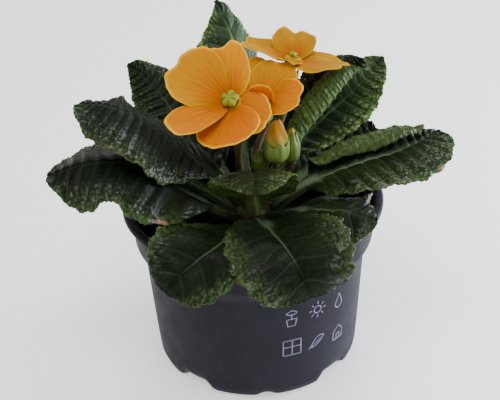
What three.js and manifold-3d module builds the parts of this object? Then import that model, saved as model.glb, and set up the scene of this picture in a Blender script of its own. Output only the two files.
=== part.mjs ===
// A potted primrose: a leaf rosette with three open blooms and three buds, in a thin nursery pot.
// Millimetres, +Z up. The origin is the centre of the pot's underside and -Y is the plant's front.
import * as THREE from "three";
import { mergeVertices } from "three/addons/utils/BufferGeometryUtils.js";
import Module from "manifold-3d";

const wasm = await Module();
wasm.setup();

// ---- Driving dimensions ----
const POT_HEIGHT = 72;
const POT_RIM_RADIUS = 53;
const POT_FOOT_RADIUS = 41;
const POT_WALL = 1;
const STEEP_WALL = 1.7; // the floor's thickness where the drain channels rise
const POT_SIDES = 32;
const SHOULDER_HEIGHT = 51; // the wall steps out here, so that pots stack
const COLLAR_STEP = 3;
const WALL_DRAFT = 0.08; // how much the wall's radius grows for each millimetre of height
const CHANNEL_HEIGHT = 3.6; // the raised drain channels under the floor
const CHANNEL_TURN = 0.85; // radians from +X to the first of four channels
const CHANNEL_HALF_ANGLE = 0.24;
const CHANNEL_RINGS = [15, 18.5, 22]; // the radii over which they rise
const NOTCH_HEIGHT = 1.4;
const NOTCH_HALF_ANGLE = 0.07;
const DRAIN_HOLE_RADIUS = 3.2;
const SOIL_HEIGHT = 60.5;
const SEAT = 0.3; // the gap between pieces that rest on each other
const CROWN_TOP = 74;
const CROWN_RADIUS = 8;
const BLADE = 0.9; // leaf blade thickness
const STALK_HALF_WIDTH = 2.3;
const STALK_THICKNESS = 2.8;
const TOOTH_DEPTH = 0.035; // share of the blade's half width
const PLEAT_HEIGHT = 0.55; // how far the blade swells between two side veins
const ROLL_RADIUS = 1.8; // the tightest that a blade rolls
const PETAL = 0.7; // petal thickness
const SHALLOW_NOTCH = 0.09; // how deep most petals are notched, as a share of their reach
const FLOWER_STALK_RADIUS = 1.4;
const BUD_WALL = 0.7; // a bud's calyx
const TUBE_LENGTH = 11; // the corolla tube below the petals
const TUBE_RADIUS = 1.5;

const DEGREE = Math.PI / 180;

// ---- Leaves ----
// path: foot, two handles and tip of the midrib's Bezier curve. face: the way the upper side looks,
// at the foot and at the tip. width: the blade's full width. stalk: the bare stalk's share of the path.
// base and tip: how pointed the blade's ends are. teeth: teeth, and side veins, on each side.
// left and right, as seen from the foot towards the tip: fold, the angle at which that half leaves the
// midrib, and curl, how much further it turns by its margin; both are degrees, and up is positive.
// wave: how often the margin rises and falls, by how many millimetres, and where it starts.
// nick, where given: where the left margin is torn in, how far as a share of the half, and how widely.
// leftHalf, where given: how much wider the left half is, and how pointed its tip. unfold and unroll,
// where given: how soon after the stalk folds and rolls begin, and how close to the tip they last.
const LEAVES = [
  {
    name: "leaf_back_tall",
    path: [[-0.8, 5, 69.5], [-8.4, 20.8, 92.7], [2.8, 34.1, 116.4], [-11.8, 45.6, 137.9]],
    face: [[0, -1, 0.3], [0.1, -1, 0.5]],
    width: 37, stalk: 0.22, tip: 1.07, teeth: 10,
    left: [3, -14], right: [-41, -40], wave: [2.5, 0.7, 0.3],
  },
  {
    name: "leaf_back_left",
    path: [[-4.1, 3.5, 69.5], [-25.6, 9.6, 83.2], [-31.0, 31.4, 107.4], [-48.6, 32.3, 116.9]],
    face: [[0.5, -0.8, 0.5], [0.2, -0.85, 0.5]],
    width: 25, stalk: 0.2, base: 0.79, tip: 0.74, teeth: 9,
    left: [-4, -33], right: [-16, -32], wave: [3, 0.8, 0.1],
  },
  {
    name: "leaf_left",
    path: [[-5.2, -0.4, 69.5], [-26.3, 2.8, 94.6], [-44.5, -19.5, 129.3], [-66.6, 0.7, 116.4]],
    face: [[0.7, -0.2, 0.7], [0.05, -0.1, 1]],
    width: 47, stalk: 0.14, base: 1.42, tip: 1.03, teeth: 10,
    left: [-6, -10], right: [-17, -18], wave: [2.7, 1.9, 0.23],
  },
  {
    name: "leaf_left_low",
    path: [[-6.4, -4, 65.2], [-36.0, -24.1, 87.8], [-35.4, -24.0, 116.1], [-78.9, -20.8, 96.8]],
    face: [[0.18, 0.04, 0.97], [0.05, -0.13, 0.96]],
    width: 44, stalk: 0.18, base: 0.86, tip: 0.57, teeth: 10,
    left: [-14, -25], right: [-11, -15], wave: [2.2, 1.7, 0.47],
    nick: { at: 0.5, depth: 0.2, width: 0.08 },
  },
  {
    name: "leaf_front_left",
    path: [[-2.6, -7.1, 65.2], [2.7, -17.8, 68.7], [-19.4, -54.1, 84.0], [-34.7, -55.9, 64.5]],
    face: [[0.1, 0.3, 1], [-0.35, -1, 0.4]],
    width: 34.6, stalk: 0.22, base: 1.15, tip: 0.54, teeth: 9,
    left: [17, -3], right: [10, -8], wave: [2.5, 0.8, 0.4],
  },
  {
    name: "leaf_front",
    path: [[2.2, -7.2, 65.2], [2.4, -32.9, 80.5], [15.5, -72.3, 91.8], [20, -72.6, 70.8]],
    face: [[0, 0.3, 1], [0.1, -1, 0.3]],
    width: 42.8, stalk: 0.24, base: 0.72, tip: 0.33, teeth: 10,
    left: [26, -37], right: [18, -9], wave: [3.5, 0.9, 0.7],
  },
  {
    name: "leaf_front_right",
    path: [[5.7, -5, 65.2], [11.8, -7.9, 68.1], [31.4, -42.1, 93.8], [47.1, -39.7, 82.3]],
    face: [[-0.1, 0.2, 1], [0.1, -0.2, 1]],
    width: 39, stalk: 0.3, base: 1, tip: 0.8, teeth: 8,
    left: [-1, -25], right: [-14, -35], wave: [2.5, 1, 0.1],
  },
  {
    name: "leaf_right",
    path: [[7.6, -0.7, 66], [28.7, -19.4, 99], [65, -11.8, 94.5], [74.6, 7.4, 95.1]],
    face: [[-0.4, -0.3, 0.9], [0.1, -0.15, 1]],
    width: 34.5, stalk: 0.28, base: 0.8, tip: 0.56, teeth: 10,
    left: [20, 240], right: [2, -9], wave: [2, 1.4, 0.35],
    leftHalf: [1.35, 1.0], unroll: 4.5, unfold: 6,
  },
  {
    name: "leaf_right_tall",
    path: [[6, 0.4, 69.5], [12, 9, 90], [32, 15, 103.5], [46, 20, 121.5]],
    face: [[-0.4, -0.9, 0.2], [-0.5, -0.85, 0.3]],
    width: 28, stalk: 0.2, tip: 0.6, teeth: 10,
    left: [0, -14], right: [45, 175], wave: [3, 0.7, 0.5],
  },
  {
    name: "leaf_right_back",
    path: [[3.3, 4.2, 69.5], [15.6, 27.5, 83.6], [38.3, 29.7, 93.1], [55.2, 30.8, 116.5]],
    face: [[-0.3, -0.8, 0.5], [-0.2, -0.8, 0.6]],
    width: 22, stalk: 0.2, base: 1.24, tip: 0.75, teeth: 10,
    left: [-10, -28], right: [6, -12], wave: [3, 0.9, 0.8],
  },
  {
    name: "leaf_front_young",
    path: [[0, -6.2, 68.2], [0, -15, 88], [1, -20, 104], [1, -35, 93]],
    face: [[0, 1, 0.4], [0, 0.2, 1]],
    width: 31, stalk: 0.06, base: 0.6, tip: 0.5, teeth: 8,
    left: [10, -36], right: [8, -36], wave: [1.5, 0.9, 0.6],
  },
  {
    name: "leaf_behind_right",
    path: [[6, 4.6, 65.2], [23, 14, 71], [35, 28, 82], [53, 35, 82]],
    face: [[-0.2, -0.2, 1], [0.2, -0.2, 1]],
    width: 34, stalk: 0.26, tip: 0.45, teeth: 9,
    left: [-2, -20], right: [2, -22], wave: [2.5, 1.3, 0.6],
  },
  {
    name: "leaf_behind",
    path: [[0.8, 7.6, 65.2], [2, 28, 80], [8, 52, 92], [11, 64, 76]],
    face: [[0, -0.3, 1], [0, 0.8, 0.6]],
    width: 36, stalk: 0.28, tip: 0.45, teeth: 9,
    left: [0, -22], right: [-2, -26], wave: [3, 1.2, 0.15],
  },
  {
    name: "leaf_behind_left",
    path: [[-4.2, 6.3, 65.2], [-17, 26, 78], [-28, 47, 92], [-36, 59, 77]],
    face: [[0.1, -0.3, 1], [-0.3, 0.5, 0.8]],
    width: 34, stalk: 0.28, tip: 0.45, teeth: 9,
    left: [0, -24], right: [2, -24], wave: [2.5, 1.3, 0.45],
  },
  {
    name: "leaf_far_left",
    path: [[-7.3, 1.8, 65.2], [-28, 9, 78], [-50, 15, 88], [-68, 18, 80]],
    face: [[0.2, -0.1, 1], [-0.2, 0, 1]],
    width: 32, stalk: 0.28, tip: 0.45, teeth: 9,
    left: [0, -26], right: [2, -26], wave: [2.5, 1.2, 0.7],
  },
];

// ---- Blooms ----
// centre: the middle of the throat. axis: the way the bloom looks. foot and sway: where its stalk leaves
// the crown and a point that it passes. eye: the radius of the green eye. Each petal's turn is degrees from
// the bloom's own right hand, as seen from in front; reach is its length and spread its half angle; lift
// raises it out of the bloom's plane; bend turns its tip up; cup raises its sides; tilt raises one side
// above the other; layer is how many millimetres it lies above the lowest one; notch, where given, is
// the depth of its cleft.
const BLOOMS = [
  {
    name: "bloom_front",
    centre: [-6.2, -19.6, 124.6], axis: [-0.25, -0.54, 0.81], foot: [-2.8, -2], sway: [-5, -5, 94],
    eye: 3.7,
    petals: [
      { turn: 144, reach: 25.4, spread: 63, lift: 25, bend: -0.1, cup: 0.18, layer: 2.6, tilt: 0 },
      { turn: 97, reach: 21.5, spread: 60, lift: 30, bend: -0.03, cup: 0.02, layer: 0, tilt: -0.2 },
      { turn: -32, reach: 15.1, spread: 78, lift: -10, bend: -0.14, cup: 0, layer: 0, tilt: 0.04 },
      { turn: -94.5, reach: 23.4, spread: 73, lift: 13, bend: 0.13, cup: 0, layer: 0.5, tilt: 0.07 },
      { turn: -144.5, reach: 27.2, spread: 37, lift: 29, bend: -0.02, cup: 0.1, layer: 1.2, tilt: 0.1 },
    ],
  },
  {
    name: "bloom_middle",
    centre: [6, -4.4, 117.5], axis: [-0.04, -0.42, 0.91], foot: [0, 0], sway: [3, -1, 96],
    eye: 1.2,
    petals: [
      { turn: 117, reach: 21.5, spread: 66, lift: 4, bend: -0.06, cup: 0.1, layer: 0.2, tilt: 0, notch: 0.14 },
      { turn: 65.5, reach: 18, spread: 78, lift: 8, bend: 0, cup: 0.05, layer: 1.4, tilt: -0.06 },
      { turn: -14, reach: 15.6, spread: 78, lift: 19, bend: 0.1, cup: 0, layer: 0.2, tilt: 0.05 },
      { turn: -100, reach: 8.5, spread: 78, lift: 64, bend: 0.28, cup: 0, layer: 1, tilt: 0 },
      { turn: 180, reach: 9, spread: 62, lift: 10, bend: 0.05, cup: 0.1, layer: 0, tilt: 0 },
    ],
  },
  {
    name: "bloom_back",
    centre: [17.7, 11.9, 125.7], axis: [0.14, 0.17, 0.97], foot: [1.7, 2.9], sway: [9, 2, 95],
    eye: 1.8,
    petals: [
      { turn: 87, reach: 17.7, spread: 69, lift: 20, bend: 0.1, cup: 0, layer: 1.4, tilt: 0, notch: 0.16 },
      { turn: 9, reach: 22.2, spread: 66, lift: 4, bend: -0.08, cup: 0.14, layer: 0.2, tilt: 0 },
      { turn: -29, reach: 23.6, spread: 66, lift: -3, bend: 0.14, cup: 0, layer: 1, tilt: 0 },
      { turn: -104, reach: 10.8, spread: 64, lift: 15, bend: -0.06, cup: 0.08, layer: 0.2, tilt: 0 },
      { turn: 158.5, reach: 22, spread: 62, lift: 13, bend: -0.08, cup: 0.18, layer: 0.6, tilt: 0 },
    ],
  },
];

// ---- Buds ----
// base and tip: the ends of the bud's own axis. girth: the calyx's greatest radius. foot: where its stalk
// leaves the crown. showing: how much of the bud's length the folded petals stand out of the calyx.
const BUDS = [
  {
    name: "bud_opening",
    base: [9.6, -12.5, 95], tip: [10.6, -12.5, 113.5], foot: [2.8, -2],
    girth: 5, showing: 0.5,
  },
  {
    name: "bud_right",
    base: [15.8, -6.5, 91], tip: [16.2, -6.5, 106], foot: [3.45, 0.4],
    girth: 3.4, showing: 0.2,
  },
  {
    name: "bud_small",
    base: [2.9, -9.6, 89], tip: [2.8, -10, 99], foot: [0, -3.4],
    girth: 2.8, showing: 0.1,
  },
];

const material = (color, roughness) => new THREE.MeshStandardMaterial({ color, roughness, metalness: 0 });
const MATERIALS = {
  pot: material(0x35353d, 0.45),
  soil: material(0x1c1613, 0.95),
  crown: material(0x454a2a, 0.7),
  leaf: material(0x2f4526, 0.5),
  youngLeaf: material(0x3d5a2c, 0.5),
  stalk: material(0x5b6b3a, 0.55),
  petal: material(0xf09a1c, 0.55),
  eye: material(0xa9ad3c, 0.6),
};

// ---- Shared helpers ----
const vector = (p) => new THREE.Vector3(...p);
const clamp = THREE.MathUtils.clamp;
const smooth = (x) => THREE.MathUtils.smoothstep(x, 0, 1);

// A closed geometry as a solid that can be joined and cut.
function solidOf(geometry) {
  const bare = geometry.clone();
  bare.deleteAttribute("normal");
  bare.deleteAttribute("uv");
  const merged = mergeVertices(bare, 1e-4);
  return new wasm.Manifold(
    new wasm.Mesh({
      numProp: 3,
      vertProperties: new Float32Array(merged.attributes.position.array),
      triVerts: new Uint32Array(merged.index.array),
    }),
  );
}

// The largest body of a solid: a cut can leave a loose scrap.
function mainBody(solid) {
  return solid.decompose().reduce((best, body) => (body.volume() > best.volume() ? body : best));
}

function geometryOf(solid) {
  const made = solid.getMesh();
  return new THREE.BufferGeometry()
    .setAttribute("position", new THREE.BufferAttribute(new Float32Array(made.vertProperties), 3))
    .setIndex(new THREE.BufferAttribute(new Uint32Array(made.triVerts), 1));
}

const plant = new THREE.Group();

function addNode(name, solid, finish) {
  const mesh = new THREE.Mesh(geometryOf(mainBody(solid)), finish);
  mesh.name = name;
  plant.add(mesh);
}

// A solid turned about +Z from [radius, height] points that start and end on the axis and go up the
// outside.
function turned(profile, sides, warp) {
  const geometry = new THREE.LatheGeometry(profile.map((p) => new THREE.Vector2(...p)), sides);
  geometry.rotateX(Math.PI / 2);
  if (warp) {
    const position = geometry.attributes.position;
    for (let i = 0; i < position.count; i++) {
      const [x, y, z] = warp(position.getX(i), position.getY(i), position.getZ(i));
      position.setXYZ(i, x, y, z);
    }
  }
  return solidOf(geometry);
}

// A closed sheet over a grid: faces(i, j) gives its upper and lower point. Columns run to the right of
// the rows.
function sheet(rows, columns, faces) {
  const points = [[], []];
  for (let i = 0; i <= rows; i++)
    for (let j = 0; j <= columns; j++)
      faces(i, j).forEach((p, side) => points[side].push(...p.toArray()));
  const under = (rows + 1) * (columns + 1);
  const at = (i, j) => i * (columns + 1) + j;
  const index = [];
  const quad = (a, b, c, d) => index.push(a, b, c, a, c, d);
  for (let i = 0; i < rows; i++)
    for (let j = 0; j < columns; j++) {
      const [a, b, c, d] = [at(i, j), at(i, j + 1), at(i + 1, j + 1), at(i + 1, j)];
      quad(a, b, c, d);
      index.push(under + a, under + c, under + b, under + a, under + d, under + c);
    }
  const wall = (a, b) => quad(a, under + a, under + b, b);
  for (let j = 0; j < columns; j++) {
    wall(at(0, j), at(0, j + 1));
    wall(at(rows, j + 1), at(rows, j));
  }
  for (let i = 0; i < rows; i++) {
    wall(at(i + 1, 0), at(i, 0));
    wall(at(i, columns), at(i + 1, columns));
  }
  return solidOf(
    new THREE.BufferGeometry()
      .setAttribute("position", new THREE.Float32BufferAttribute(points.flat(), 3))
      .setIndex(index),
  );
}

// ---- Pot and soil ----
const fromChannel = (angle, offset) => {
  const quarter = Math.PI / 2;
  const turn = (((angle - CHANNEL_TURN - offset) % quarter) + quarter) % quarter;
  return Math.min(turn, quarter - turn);
};

// How far the drain channels and the small notches between them raise the floor at a place.
function floorLift(x, y) {
  const angle = Math.atan2(y, x);
  const radius = Math.hypot(x, y);
  const channel = CHANNEL_HEIGHT * smooth((CHANNEL_HALF_ANGLE - fromChannel(angle, 0)) / 0.12);
  const notch = NOTCH_HEIGHT * smooth((NOTCH_HALF_ANGLE + 0.05 - fromChannel(angle, Math.PI / 4)) / 0.1);
  const rising = smooth((radius - CHANNEL_RINGS[0]) / (CHANNEL_RINGS[2] + 1 - CHANNEL_RINGS[0]));
  return channel * rising + notch * smooth((radius - 34) / 4);
}

const nearFloor = (z) => 1 - smooth((z - 2) / 10);

const liftFloor = (x, y, z) => [x, y, z + floorLift(x, y) * nearFloor(z)];

// The pot's outline from the centre of its underside up to the rim, and its radius inside the wall.
const wallRadius = (z) => POT_FOOT_RADIUS + WALL_DRAFT * z;
const collarRadius = (z) => wallRadius(z) + COLLAR_STEP;

function makePot() {
  const shoulderTop = SHOULDER_HEIGHT + 5;
  const rimUnder = POT_HEIGHT - 2.2;
  const outside = [
    ...[0, ...CHANNEL_RINGS, 30, POT_FOOT_RADIUS - 4].map((r) => [r, 0]),
    [POT_FOOT_RADIUS - 1.2, 1.3],
    [POT_FOOT_RADIUS + 0.2, 4.5],
    [wallRadius(14), 14],
    [wallRadius(SHOULDER_HEIGHT), SHOULDER_HEIGHT],
    [collarRadius(shoulderTop), shoulderTop],
    [collarRadius(rimUnder), rimUnder],
    [POT_RIM_RADIUS - 0.9, rimUnder - 0.7],
    [POT_RIM_RADIUS, rimUnder + 0.2],
    [POT_RIM_RADIUS - 0.7, POT_HEIGHT - 0.5],
    [POT_RIM_RADIUS - 2, POT_HEIGHT],
  ];
  const inside = [
    [collarRadius(POT_HEIGHT) - POT_WALL, POT_HEIGHT - 0.6],
    [collarRadius(shoulderTop) - POT_WALL, shoulderTop + 0.4],
    [wallRadius(SHOULDER_HEIGHT) - POT_WALL, SHOULDER_HEIGHT + 0.6],
    [wallRadius(14) - POT_WALL, 14],
    [POT_FOOT_RADIUS + 0.2 - POT_WALL, 5],
    [POT_FOOT_RADIUS - 2, 2.1],
    [POT_FOOT_RADIUS - 4.4, POT_WALL],
    [30, POT_WALL + 0.2],
    [CHANNEL_RINGS[2], STEEP_WALL],
    [CHANNEL_RINGS[1], STEEP_WALL],
    [CHANNEL_RINGS[0], POT_WALL],
    [0, POT_WALL],
  ];
  let pot = turned([...outside, ...inside], POT_SIDES, liftFloor);
  for (let k = 0; k < 4; k++) {
    const angle = CHANNEL_TURN + (k * Math.PI) / 2;
    const hole = new THREE.CylinderGeometry(DRAIN_HOLE_RADIUS, DRAIN_HOLE_RADIUS, 12, 10);
    hole.rotateX(Math.PI / 2);
    hole.translate(32 * Math.cos(angle), 32 * Math.sin(angle), 4);
    pot = pot.subtract(solidOf(hole));
  }
  addNode("pot", pot, MATERIALS.pot);
}

// The uneven top of the potting mix.
const soilBump = (x, y) =>
  0.5 * Math.sin(0.42 * x + 1.3) * Math.cos(0.37 * y + 0.4) + 0.35 * Math.sin(0.83 * x - 0.71 * y + 2.1);

const crownProfile = (grow) => [
  [0, 56 - grow],
  [CROWN_RADIUS - 2 + grow, 56 - grow],
  [CROWN_RADIUS + grow, 59],
  [CROWN_RADIUS + 0.3 + grow, 64],
  [CROWN_RADIUS - 0.8 + grow, 68],
  [CROWN_RADIUS - 2.4 + grow, 71 + grow * 0.5],
  [CROWN_RADIUS - 4 + grow, CROWN_TOP - 0.6 + grow],
  [0, CROWN_TOP + grow],
];

function makeSoil() {
  const side = (z) => wallRadius(z) - POT_WALL - SEAT;
  const shoulderTop = SHOULDER_HEIGHT + 6;
  const profile = [
    [0, POT_WALL + SEAT],
    [CHANNEL_RINGS[0] - 3, POT_WALL + SEAT],
    [CHANNEL_RINGS[0], POT_WALL + 2 * SEAT],
    [CHANNEL_RINGS[1], STEEP_WALL + 4 * SEAT],
    [CHANNEL_RINGS[2], STEEP_WALL + 4 * SEAT],
    [30, POT_WALL + 4 * SEAT],
    [POT_FOOT_RADIUS - 4.9, POT_WALL + 2 * SEAT],
    [POT_FOOT_RADIUS - 2.8, 3],
    [POT_FOOT_RADIUS - POT_WALL - SEAT, 5.5],
    [side(14), 14],
    [side(SHOULDER_HEIGHT), SHOULDER_HEIGHT + 0.8],
    [collarRadius(shoulderTop) - POT_WALL - 2 * SEAT, shoulderTop],
    [collarRadius(SOIL_HEIGHT) - POT_WALL - 2 * SEAT, SOIL_HEIGHT],
    [30, SOIL_HEIGHT],
    [0, SOIL_HEIGHT],
  ];
  const warp = (x, y, z) =>
    z < SOIL_HEIGHT - 0.01 ? liftFloor(x, y, z) : [x, y, z + soilBump(x, y)];
  const hole = turned([...crownProfile(SEAT).slice(0, 4), [0, 64]], 14);
  addNode("soil", turned(profile, POT_SIDES, warp).subtract(hole), MATERIALS.soil);
}

const crown = turned(crownProfile(0), 14);
const crownSeat = turned(crownProfile(SEAT), 14);

// ---- Leaves ----
// The half width of a blade as a share of its greatest, from where it leaves the stalk (0) to its tip (1).
function bladeShape(v, rise, tip) {
  const widest = rise / (rise + tip);
  return (v ** rise * (1 - v) ** tip) / (widest ** rise * (1 - widest) ** tip);
}

// How far the nick in a leaf's left margin reaches in, as a share of the half width.
function nickDepth({ nick }, v) {
  return nick ? nick.depth * Math.exp(-(((v - nick.at) / nick.width) ** 2)) : 0;
}

// The upper and lower point of a leaf at row share q, from foot to tip, and across it at s, from -1 to 1.
function leafPoint(leaf, curve, q, s) {
  const stalkRows = 0.12;
  const v = clamp((q - stalkRows) / (1 - stalkRows), 0, 1);
  const inBlade = 1 - (1 - v) ** 1.5;
  const u = q < stalkRows ? (leaf.stalk * q) / stalkRows : leaf.stalk + (1 - leaf.stalk) * inBlade;
  const tangent = curve.getTangentAt(u);
  const face = vector(leaf.face[0]).normalize().lerp(vector(leaf.face[1]).normalize(), u);
  const right = tangent.clone().cross(face).normalize();
  const normal = right.clone().cross(tangent);

  const side = s < 0 ? -1 : 1;
  const out = Math.abs(s);
  const open = smooth(inBlade * (leaf.unfold ?? 3));
  const tooth = 1 + TOOTH_DEPTH * open * out * Math.cos(2 * Math.PI * leaf.teeth * v);
  const [wider, tip] = side < 0 && leaf.leftHalf ? leaf.leftHalf : [1, leaf.tip];
  const blade = ((wider * leaf.width) / 2) * bladeShape(inBlade, leaf.base ?? 0.95, tip) * tooth;
  const whole = Math.max(STALK_HALF_WIDTH * (1 - inBlade ** 3) + blade, 0.8);
  const half = side < 0 ? whole * (1 - nickDepth(leaf, v)) : whole;

  const [foldDegrees, curlDegrees] = side < 0 ? leaf.left : leaf.right;
  const beforeTip = smooth((1 - inBlade) * (leaf.unroll ?? 9));
  const fold = (foldDegrees * open * beforeTip + 20 * (1 - open)) * DEGREE;
  const tightest = half / ROLL_RADIUS;
  const curl = clamp((curlDegrees * open * beforeTip + 1e-3) * DEGREE, -tightest, tightest);
  const angle = fold + curl * out;
  const across = (half * (Math.sin(angle) - Math.sin(fold))) / curl;
  const [waves, height, phase] = leaf.wave;
  const broad = open * smooth(half / 7);
  const ruffle = height * out ** 2 * broad * Math.sin(2 * Math.PI * (waves * v + phase + 0.3 * side));
  const between = PLEAT_HEIGHT * broad * Math.sin(Math.PI * out) ** 0.7;
  const pleat = between * Math.cos(2 * Math.PI * (leaf.teeth * v - out));
  const rise = (half * (Math.cos(fold) - Math.cos(angle))) / curl + ruffle + pleat;

  const middle = curve
    .getPointAt(u)
    .addScaledVector(right, side * across)
    .addScaledVector(normal, rise);
  const outward = normal
    .clone()
    .multiplyScalar(Math.cos(angle))
    .addScaledVector(right, -side * Math.sin(angle));
  const rib = (STALK_THICKNESS - BLADE) * (1 - u) * (1 - out) + (1 - open) * 0.7 * (1 - out);
  return [
    middle.clone().addScaledVector(outward, BLADE / 2),
    middle.clone().addScaledVector(outward, -BLADE / 2 - rib),
  ];
}

function makeLeaf(leaf) {
  const curve = new THREE.CubicBezierCurve3(...leaf.path.map(vector));
  const rolled = Math.max(leaf.left[1], leaf.right[1]) > 60;
  const across = rolled ? [-1, -0.7, -0.35, 0, 0.35, 0.7, 1] : [-1, -0.55, 0, 0.55, 1];
  const bladeRows = 2 * leaf.teeth;
  const stalkRows = 2;
  const rowShare = (i) =>
    i <= stalkRows ? (0.12 * i) / stalkRows : 0.12 + (0.88 * (i - stalkRows)) / bladeRows;
  const solid = sheet(stalkRows + bladeRows, across.length - 1, (i, j) =>
    leafPoint(leaf, curve, rowShare(i), across[j]),
  );
  const young = leaf.name.endsWith("young");
  addNode(leaf.name, solid.subtract(crownSeat), young ? MATERIALS.youngLeaf : MATERIALS.leaf);
}

// ---- Flower stalks, calyces and blooms ----
// A solid that follows a curve, ring by ring: radius(t) is its radius at share t of the length.
function tube(curve, steps, sides, radius) {
  const frames = curve.computeFrenetFrames(steps, false);
  const positions = [];
  const ring = (i, k) => 1 + i * sides + (((k % sides) + sides) % sides);
  positions.push(...curve.getPointAt(0).toArray());
  for (let i = 0; i <= steps; i++) {
    const centre = curve.getPointAt(i / steps);
    for (let k = 0; k < sides; k++) {
      const angle = (2 * Math.PI * k) / sides;
      const r = radius(i / steps);
      const p = centre
        .clone()
        .addScaledVector(frames.normals[i], r * Math.cos(angle))
        .addScaledVector(frames.binormals[i], r * Math.sin(angle));
      positions.push(...p.toArray());
    }
  }
  positions.push(...curve.getPointAt(1).toArray());
  const last = positions.length / 3 - 1;
  const index = [];
  for (let k = 0; k < sides; k++) {
    index.push(0, ring(0, k + 1), ring(0, k));
    index.push(last, ring(steps, k), ring(steps, k + 1));
    for (let i = 0; i < steps; i++) {
      index.push(ring(i, k), ring(i, k + 1), ring(i + 1, k + 1));
      index.push(ring(i, k), ring(i + 1, k + 1), ring(i + 1, k));
    }
  }
  return solidOf(
    new THREE.BufferGeometry()
      .setAttribute("position", new THREE.Float32BufferAttribute(positions, 3))
      .setIndex(index),
  );
}

// Moves a solid that was made about +Z so that its origin is at a place and +Z looks along an axis.
function placed(solid, place, axis) {
  const turn = new THREE.Quaternion().setFromUnitVectors(new THREE.Vector3(0, 0, 1), axis);
  const matrix = new THREE.Matrix4().compose(place, turn, new THREE.Vector3(1, 1, 1));
  return solid.transform(matrix.elements);
}

// A ribbed green cup with five teeth, open at the top, about +Z with its floor's underside at the origin.
function calyx(girth, height, toothHeight, wall, mouth) {
  const ribbed = (x, y, z) => {
    const angle = Math.atan2(y, x);
    const rib = 1 + 0.09 * Math.cos(5 * angle);
    const tooth = z > height - 0.01 ? toothHeight * Math.cos(5 * angle) : 0;
    return [x * rib, y * rib, z + tooth];
  };
  return turned(
    [
      [0, 0],
      [FLOWER_STALK_RADIUS + 0.3, 0],
      [girth * 0.85, 1],
      [girth, height * 0.5],
      [mouth, height],
      [mouth - wall, height],
      [girth - wall, height * 0.5],
      [girth * 0.85 - wall, 1.2],
      [0, 1.2],
    ],
    15,
    ribbed,
  );
}

function flowerStalk(foot, sway, top, axis) {
  const start = new THREE.Vector3(foot[0], foot[1], CROWN_TOP - 2.5);
  const below = top.clone().addScaledVector(axis, -4);
  const curve = new THREE.CatmullRomCurve3([start, vector(sway), below, top]);
  return tube(curve, 8, 6, (t) => FLOWER_STALK_RADIUS * (1.15 - 0.2 * t));
}

// The upper and lower point of a petal, share r of the way from the throat to its edge and, at s from -1
// to 1, across it.
function petalPoint(bloom, petal, frame, r, s) {
  const spread = petal.spread * DEGREE;
  const alpha = s * spread * 0.94;
  const outline = Math.cos((alpha * Math.PI) / 2 / spread) ** 0.55;
  const notch = 1 - (petal.notch ?? SHALLOW_NOTCH) * Math.exp(-((alpha / 0.16) ** 2));
  const scallop = 1 + 0.018 * Math.cos(9 * alpha + petal.turn);
  const reach = petal.reach * outline * notch * scallop;
  const distance = 1 + (reach - 1) * r;
  const along = distance * Math.cos(alpha);
  const aside = distance * Math.sin(alpha);
  const far = along / petal.reach;
  const ripple = 0.7 * r ** 3 * Math.sin(4.5 * alpha + petal.turn);
  const height =
    along * Math.tan(petal.lift * DEGREE) * Math.min(1, 0.55 + far) +
    petal.bend * petal.reach * far ** 2 +
    (petal.cup * aside ** 2) / 10 +
    petal.tilt * aside +
    petal.layer * smooth(far * 3) +
    ripple;
  const turn = petal.turn * DEGREE;
  const outwards = frame.right
    .clone()
    .multiplyScalar(Math.cos(turn))
    .addScaledVector(frame.up, Math.sin(turn));
  const sideways = frame.axis.clone().cross(outwards);
  const middle = vector(bloom.centre)
    .addScaledVector(outwards, along)
    .addScaledVector(sideways, aside)
    .addScaledVector(frame.axis, height);
  return [
    middle.clone().addScaledVector(frame.axis, PETAL / 2),
    middle.clone().addScaledVector(frame.axis, -PETAL / 2),
  ];
}

function bloomFrame(bloom) {
  const axis = vector(bloom.axis).normalize();
  const right = new THREE.Vector3(1, 0, 0).addScaledVector(axis, -axis.x).normalize();
  return { axis, right, up: axis.clone().cross(right) };
}

function makeBloom(bloom) {
  const frame = bloomFrame(bloom);
  const centre = vector(bloom.centre);
  const along = (distance) => centre.clone().addScaledVector(frame.axis, distance);
  const rows = 4;
  const columns = 8;
  const petals = bloom.petals.map((petal) =>
    sheet(rows, columns, (i, j) => petalPoint(bloom, petal, frame, i / rows, (-2 * j) / columns + 1)),
  );
  const throat = turned(
    [
      [0, -TUBE_LENGTH],
      [TUBE_RADIUS, -TUBE_LENGTH],
      [TUBE_RADIUS, -3.5],
      [TUBE_RADIUS + 1, -1],
      [3.6, 0.4],
      [3.2, 1.6],
      [0, 1.2],
    ],
    12,
  );
  const corolla = placed(throat, centre, frame.axis);
  addNode(bloom.name + "_corolla", petals.reduce((sum, petal) => sum.add(petal), corolla), MATERIALS.petal);

  const lobed = (x, y, z) => {
    const lobe = 1 + 0.1 * Math.cos(5 * Math.atan2(y, x));
    return [x * lobe, y * lobe, z];
  };
  const [r, low] = [bloom.eye, 1.6 + SEAT];
  const eye = turned(
    [
      [0, low],
      [r * 0.45, low],
      [r * 0.8, low + 0.2 * r],
      [r, low + 0.5 * r],
      [r * 0.9, low + 0.8 * r],
      [r * 0.55, low + r],
      [0, low + r],
    ],
    15,
    lobed,
  );
  addNode(bloom.name + "_eye", placed(eye, centre, frame.axis), MATERIALS.eye);

  const cupFloor = along(-TUBE_LENGTH - SEAT - 1.2);
  const cup = placed(calyx(3, 8, 1.6, 0.6, 2.9), cupFloor, frame.axis);
  const top = cupFloor.clone().addScaledVector(frame.axis, 0.8);
  const stalk = flowerStalk(bloom.foot, bloom.sway, top, frame.axis);
  addNode(bloom.name + "_stalk", cup.add(stalk).subtract(crownSeat), MATERIALS.stalk);
}

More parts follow.
